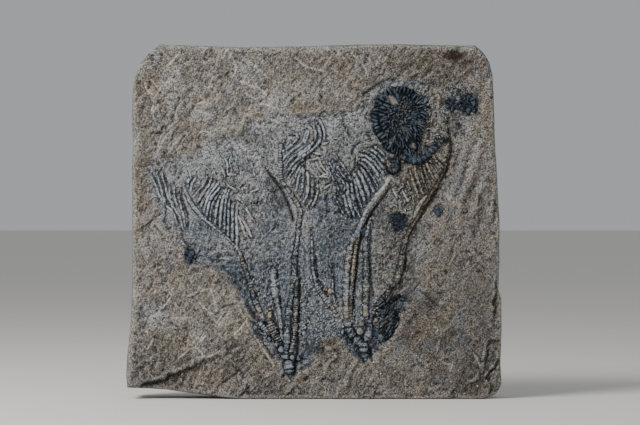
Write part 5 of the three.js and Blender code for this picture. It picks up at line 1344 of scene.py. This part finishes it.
# The broken edge: rings of spots from the front round to the back, set in by facets and layers.
rim = border(up_count, across_count)
rim_x, rim_y, rim_z = x.ravel()[rim], y.ravel()[rim], z.ravel()[rim]
inward = np.stack([-(np.roll(rim_z, -3) - np.roll(rim_z, 3)), np.roll(rim_x, -3) - np.roll(rim_x, 3)], 1)
inward /= np.hypot(inward[:, 0], inward[:, 1])[:, None]
round_way = np.cumsum(np.hypot(rim_x - np.roll(rim_x, 1), rim_z - np.roll(rim_z, 1)))
level_count = 16
ring_y, set_in = [], []
for back in np.arange(1, level_count + 1) / level_count:
    y_here = rim_y + (back_y - back_gap - rim_y) * back
    facets = 1.5 * chips(round_way, y_here * 1.5, 21, 190) + 0.6 * chips(round_way, y_here * 2, 8, 200)
    layered = 0.3 * np.sin(y_here * 1.5 + 2 * lumps(round_way, y_here, 40, 96))
    ring_y.append(y_here)
    set_in.append(np.clip(1.2 + facets + layered + 0.12 * rough(round_way, y_here, 3, 2, 97), 0, 3.6)
                  * smooth(0, 0.1, back))
ring_y, set_in = np.array(ring_y), np.array(set_in)
ring_x = rim_x + inward[:, 0] * set_in
ring_z = np.maximum(rim_z + inward[:, 1] * set_in * smooth(0.2, 1.2, rim_z), bottom)
edge_points = np.stack([ring_x, ring_y, ring_z], 2).reshape(-1, 3)


def high_and_hollow(depth, scale):
    """Where a surface stands above or below its surroundings, from -1 to 1."""
    flat = depth.copy()
    for _ in range(4):
        flat[1:-1, 1:-1] = (flat[:-2, 1:-1] + flat[2:, 1:-1] + flat[1:-1, :-2] + flat[1:-1, 2:]) / 4
    return np.clip((flat - depth) / scale, -1, 1)


# The back: a plain split face, drawn on every third spot of the front and a little smaller.
skip = 3
shrink, middle_z = 0.972, (bottom + top) / 2
back_x, back_z = x[::skip, ::skip] * shrink, middle_z + (z[::skip, ::skip] - middle_z) * shrink
back_depth = (1.0 + 0.6 * rough(back_x, back_z, 40, 2, 210) + 0.8 * chips(back_x, back_z, 30, 220)
              + 0.25 * chips(back_x, back_z, 9, 225) + 0.1 * rough(back_x, back_z, 5, 2, 230))
back_depth = np.clip(back_depth, 0.1, 2.6)
back_points = np.stack([back_x, back_y - back_depth, back_z], 2).reshape(-1, 3)

# The faces: the front, the rings of the edge, the back, and a strip that joins the edge to the back.
face_spots = np.arange(up_count * across_count).reshape(up_count, across_count)
face_quads = np.stack([face_spots[:-1, :-1], face_spots[:-1, 1:], face_spots[1:, 1:], face_spots[1:, :-1]], 2)
start = face_spots.size + np.arange(level_count) * len(rim)
loops = [rim] + [first + np.arange(len(rim)) for first in start]
edge_quads = [
    np.stack([inner, outer, np.roll(outer, -1), np.roll(inner, -1)], 1)
    for inner, outer in zip(loops, loops[1:])
]
first_of_back = face_spots.size + level_count * len(rim)
back_spots = first_of_back + np.arange(back_x.size).reshape(back_x.shape)
back_quads = np.stack([back_spots[:-1, :-1], back_spots[1:, :-1], back_spots[1:, 1:], back_spots[:-1, 1:]], 2)
back_rim = first_of_back + border(*back_x.shape)
last = loops[-1]
back_strip = np.stack([last[::skip], back_rim, np.roll(back_rim, -1), np.roll(last, -skip)[::skip],
                       last[2::skip], last[1::skip]], 1)
extra = level_count * len(rim) + back_x.size


def with_edge(values, on_edge):
    """A field of the face, carried on round the edge and the back."""
    return np.concatenate([values.ravel(), np.full(extra, on_edge)])


edge_blue = 0.25 * np.tile(smooth(40, 0, rim_z) * smooth(-60, -90, rim_x), level_count)
edge_painted_relief_light = high_and_hollow(set_in, 0.5)
back_painted_relief_light = high_and_hollow(back_depth, 0.25)
slab_part = {
    "points": np.vstack([np.stack([x.ravel(), y.ravel(), z.ravel()], 1), edge_points, back_points]),
    "faces": face_quads.reshape(-1, 4).tolist() + np.vstack(edge_quads).tolist()
    + back_quads.reshape(-1, 4).tolist() + back_strip.tolist(),
    "bed": np.concatenate([blue.ravel(), edge_blue, np.zeros(back_x.size)]),
    "dry": with_edge(dry, 0.3),
    "painted_shade": with_edge(painted_shade, 0.0),
    "painted_relief_light": np.concatenate([painted_relief_light.ravel(), edge_painted_relief_light.ravel(), back_painted_relief_light.ravel()]),
    "ink": with_edge(ink, 0.0),
    "rust": with_edge(rust, 0.0),
    "ochre": with_edge(ochre, 0.15),
    "green": with_edge(green, 0.0),
    "scratch": with_edge(scratch, 0.0),
    "fold": with_edge(pale, 0.0),
    "wash": with_edge(wash, 0.0),
    "rim": np.concatenate([np.zeros(face_spots.size), np.ones(level_count * len(rim)),
                           np.full(back_x.size, 0.6)]),
}


def muddy_limestone():
    """Limestone split by hand: matt, gritty and clouded warm grey, with a blue-grey muddy layer.

    Clouds are about 24 mm across, patches 8 mm and blotches 3 mm, and curled streaks 1 mm wide run
    along the split. The finest grit is below 0.1 mm, and is drawn at 0.6 mm so that it shows.
    """
    material = bpy.data.materials.new("muddy_limestone")
    material.use_nodes = True
    tree = material.node_tree
    shader = tree.nodes["Principled BSDF"]
    ways = {"even": add(tree, "ShaderNodeTexCoord").outputs["Object"]}
    for way, turn, along, up in [
            ("turned", -lean, 1.7, 1), ("drawn", -lean, 3.2, 1), ("crossed", flow, 3.0, 1),
            ("upright", math.radians(-82), 2.4, 1), ("bedded", 0.0, 14, 14)]:
        ways[way] = add(tree, "ShaderNodeMapping", {"vector_type": "TEXTURE"}, {
            "Vector": ways["even"], "Rotation": (0, turn, 0), "Scale": (along, 1, up)}).outputs["Vector"]
    field = {}
    for name, size, detail, harshness, way, swirl in [
            ("cloud", 24, 4.0, 0.6, "even", 0.0), ("calm", 11, 2.0, 0.5, "even", 0.0),
            ("patch", 8, 3.0, 0.6, "turned", 0.0), ("blotch", 3.2, 5.0, 0.65, "turned", 0.0),
            ("layer", 2.4, 3.0, 0.6, "bedded", 0.0), ("cross_streak", 1.8, 4.0, 0.62, "crossed", 1.4),
            ("streak", 1.4, 4.0, 0.62, "drawn", 1.4), ("pitted", 1.25, 2.0, 0.5, "even", 0.0),
            ("speck", 1.1, 3.0, 0.7, "upright", 1.6), ("grit", 0.8, 4.0, 0.75, "turned", 0.0),
            ("dust", 0.6, 2.0, 0.6, "even", 0.0)]:
        field[name] = add(tree, "ShaderNodeTexNoise", {}, {
            "Vector": ways[way], "Scale": 1 / (size * MM), "Detail": detail, "Roughness": harshness,
            "Distortion": swirl}).outputs["Fac"]
    for name in ["bed", "dry", "painted_shade", "painted_relief_light", "ink", "rust", "ochre", "green", "scratch", "fold",
                 "wash", "rim"]:
        field[name] = add(tree, "ShaderNodeAttribute", {"attribute_name": name}).outputs["Fac"]

    def lay(under, over, masks, kind="MIX"):
        """Lay one colour over another where every mask lets it: (field, from, to, least, most)."""
        amount = None
        for name, low, high, least, most in masks:
            mask = add(tree, "ShaderNodeMapRange", {}, {
                "Value": field[name], "From Min": low, "From Max": high, "To Min": least,
                "To Max": most}).outputs[0]
            amount = mask if amount is None else add(tree, "ShaderNodeMath", {
                "operation": "MULTIPLY", "use_clamp": True}, {0: amount, 1: mask}).outputs[0]
        return add(tree, "ShaderNodeMix", {"data_type": "RGBA", "blend_type": kind}, {
            0: amount, 6: under, 7: over}).outputs[2]

    stone_colour = lay(linear("#958f87"), linear("#b0aaa1"), [("cloud", 0.35, 0.65, 0.0, 1.0)])
    for over, *masks in [
            ("#a89a82", ("patch", 0.52, 0.66, 0.0, 0.7)), ("#8a8f95", ("patch", 0.47, 0.34, 0.0, 0.75)),
            ("#d6d2ca", ("blotch", 0.52, 0.66, 0.0, 0.55)), ("#3b3731", ("blotch", 0.46, 0.32, 0.0, 0.5)),
            ("#d9d4ca", ("streak", 0.53, 0.66, 0.0, 0.6)), ("#47423b", ("streak", 0.46, 0.33, 0.0, 0.6)),
            ("#d9d4ca", ("cross_streak", 0.56, 0.7, 0.0, 0.6)),
            ("#47423b", ("cross_streak", 0.43, 0.3, 0.0, 0.6))]:
        stone_colour = lay(stone_colour, linear(over), masks)
    bed_colour = lay(linear("#5c6b7e"), linear("#8a9bae"), [("calm", 0.35, 0.65, 0.0, 1.0)])
    for over, *masks in [
            ("#e4e8ea", ("dry", 0.0, 1.0, 0.0, 1.0), ("calm", 0.3, 0.6, 0.6, 1.0)),
            ("#c0cad4", ("speck", 0.52, 0.62, 0.0, 1.0), ("calm", 0.6, 0.45, 0.6, 1.0)),
            ("#25303e", ("speck", 0.48, 0.37, 0.0, 1.0), ("calm", 0.6, 0.45, 0.6, 1.0))]:
        bed_colour = lay(bed_colour, linear(over), masks)
    ragged = add(tree, "ShaderNodeMapRange", {}, {
        "Value": field["blotch"], "From Min": 0.3, "From Max": 0.7, "To Min": -0.3, "To Max": 0.3}).outputs[0]
    field["ragged_bed"] = add(tree, "ShaderNodeMath", {"operation": "ADD", "use_clamp": True}, {
        0: field["bed"], 1: ragged}).outputs[0]
    colour = lay(stone_colour, bed_colour, [("ragged_bed", 0.1, 0.9, 0.0, 1.0)])
    for over, *masks in [
            ("#8b765b", ("ochre", 0.0, 1.0, 0.0, 1.0), ("blotch", 0.3, 0.6, 0.3, 1.0)),
            # Paler and darker clouds: partly the stone's tone, partly painted light and painted shade.
            ("#dce0e1", ("wash", 0.0, 1.0, 0.0, 0.7)), ("#35322e", ("wash", 0.0, -1.0, 0.0, 0.6)),
            ("#bdb8ae", ("rim", 0.0, 1.0, 0.0, 1.0), ("layer", 0.5, 0.62, 0.0, 0.6)),
            ("#67625b", ("rim", 0.0, 1.0, 0.0, 1.0), ("layer", 0.47, 0.36, 0.0, 0.6)),
            # Painted highlight on high spots and painted shade in hollows.
            ("#cdcac2", ("painted_relief_light", 0.1, 1.0, 0.0, 0.6)),
            ("#1f1e1d", ("painted_relief_light", -0.1, -1.0, 0.0, 0.9), ("grit", 0.35, 0.6, 1.1, 0.5)),
            # Painted highlight along the thin raised folds.
            ("#bbb8ac", ("fold", 0.2, 1.0, 0.0, 0.5))]:
        colour = lay(colour, linear(over), masks)
    # Grit and dust darken what they lie on.
    colour = lay(colour, linear("#515154"), [("grit", 0.32, 0.48, 1.0, 0.0)], "MULTIPLY")
    colour = lay(colour, linear("#88888b"), [("dust", 0.42, 0.54, 1.0, 0.0)], "MULTIPLY")
    for over, *masks in [
            ("#ece6db", ("scratch", 0.3, 0.8, 0.0, 1.0), ("dust", 0.38, 0.56, 0.1, 1.0),
             ("streak", 0.35, 0.6, 0.3, 1.0)),
            ("#e6e3dc", ("grit", 0.6, 0.7, 0.0, 0.6)), ("#24211e", ("pitted", 0.64, 0.7, 0.0, 0.8)),
            ("#f4f2ec", ("pitted", 0.29, 0.26, 0.0, 1.0)),
            ("#111923", ("ink", 0.0, 1.0, 0.0, 1.0), ("dust", 0.35, 0.62, 1.2, 0.6)),
            ("#2a1c15", ("rust", 0.0, 1.0, 0.0, 1.0), ("dust", 0.35, 0.62, 1.1, 0.8)),
            ("#3c6a4c", ("green", 0.0, 1.0, 0.0, 1.0)),
            # Painted shade in the creases, cracks and under the flake steps.
            ("#12161b", ("painted_shade", 0.0, 1.0, 0.0, 1.0), ("dust", 0.35, 0.6, 1.1, 0.7))]:
        colour = lay(colour, linear(over), masks)
    broad = add(tree, "ShaderNodeBump", {}, {"Height": field["streak"], "Strength": 0.5,
                                             "Distance": 1.0 * MM})
    coarse = add(tree, "ShaderNodeBump", {}, {
        "Height": field["grit"], "Strength": 1.0, "Distance": 1.1 * MM, "Normal": broad.outputs["Normal"]})
    fine = add(tree, "ShaderNodeBump", {}, {
        "Height": field["dust"], "Strength": 0.8, "Distance": 0.5 * MM, "Normal": coarse.outputs["Normal"]})
    tree.links.new(colour, shader.inputs["Base Color"])
    tree.links.new(fine.outputs["Normal"], shader.inputs["Normal"])
    shader.inputs["Roughness"].default_value = 0.92
    shader.inputs["IOR"].default_value = 1.5
    shader.inputs["Specular IOR Level"].default_value = 0.3
    return material


piece("slab_stone", [slab_part], muddy_limestone(), "limestone", "slab")

# ---- The floor ----
# A plain pale sheet of card, wide enough to fill every view. Its matt fibres scatter the light
# evenly, and its tone clouds a little over 30 mm.
card = bpy.data.materials.new("pale_card")
card.use_nodes = True
card_tree = card.node_tree
card_shader = card_tree.nodes["Principled BSDF"]
card_place = add(card_tree, "ShaderNodeTexCoord").outputs["Object"]
card_fibre = add(card_tree, "ShaderNodeTexNoise", {}, {"Vector": card_place, "Scale": 1 / (30 * MM),
                                                       "Detail": 4.0})
card_colour = add(card_tree, "ShaderNodeMix", {"data_type": "RGBA"}, {
    0: card_fibre.outputs["Fac"], 6: linear("#dfdcd7"), 7: linear("#e6e3df")}).outputs[2]
card_tree.links.new(card_colour, card_shader.inputs["Base Color"])
card_shader.inputs["Roughness"].default_value = 0.9
floor_mesh = bpy.data.meshes.new("floor")
half = 12.0
floor_mesh.from_pydata([(-half, -half, 0), (half, -half, 0), (half, half, 0), (-half, half, 0)], [],
                       [(0, 1, 2, 3)])
floor_mesh.materials.append(card)
floor = bpy.data.objects.new("floor", floor_mesh)
bpy.context.scene.collection.objects.link(floor)

# ---- The light ----
# One soft window-like lamp at the upper left rakes across the face. A broad weak one at the right
# and a pale room fill the shadows.
world = bpy.data.worlds.new("pale_room")
bpy.context.scene.world = world
world.use_nodes = True
glow = world.node_tree.nodes["Background"]
glow.inputs["Color"].default_value = linear("#d9dbde")
glow.inputs["Strength"].default_value = 0.56


def lamp(name, spot, aim, size, power, colour):
    """A soft square lamp of a size in metres and a power in watts, turned towards a spot."""
    data = bpy.data.lights.new(name, "AREA")
    data.shape = "SQUARE"
    data.size = size
    data.energy = power
    data.color = linear(colour)[:3]
    thing = bpy.data.objects.new(name, data)
    bpy.context.scene.collection.objects.link(thing)
    thing.location = spot
    way = np.array(aim) - np.array(spot)
    thing.rotation_euler = (
        math.acos(-way[2] / np.linalg.norm(way)), 0, math.atan2(way[1], way[0]) - math.radians(90))


lamp("window", (-0.53, -0.46, 0.75), (0, 0, 0.1), 0.42, 9.6, "#fffaf4")
lamp("bounce", (1.4, -1.6, 0.6), (0, 0, 0.1), 1.2, 2.4, "#eef3ff")
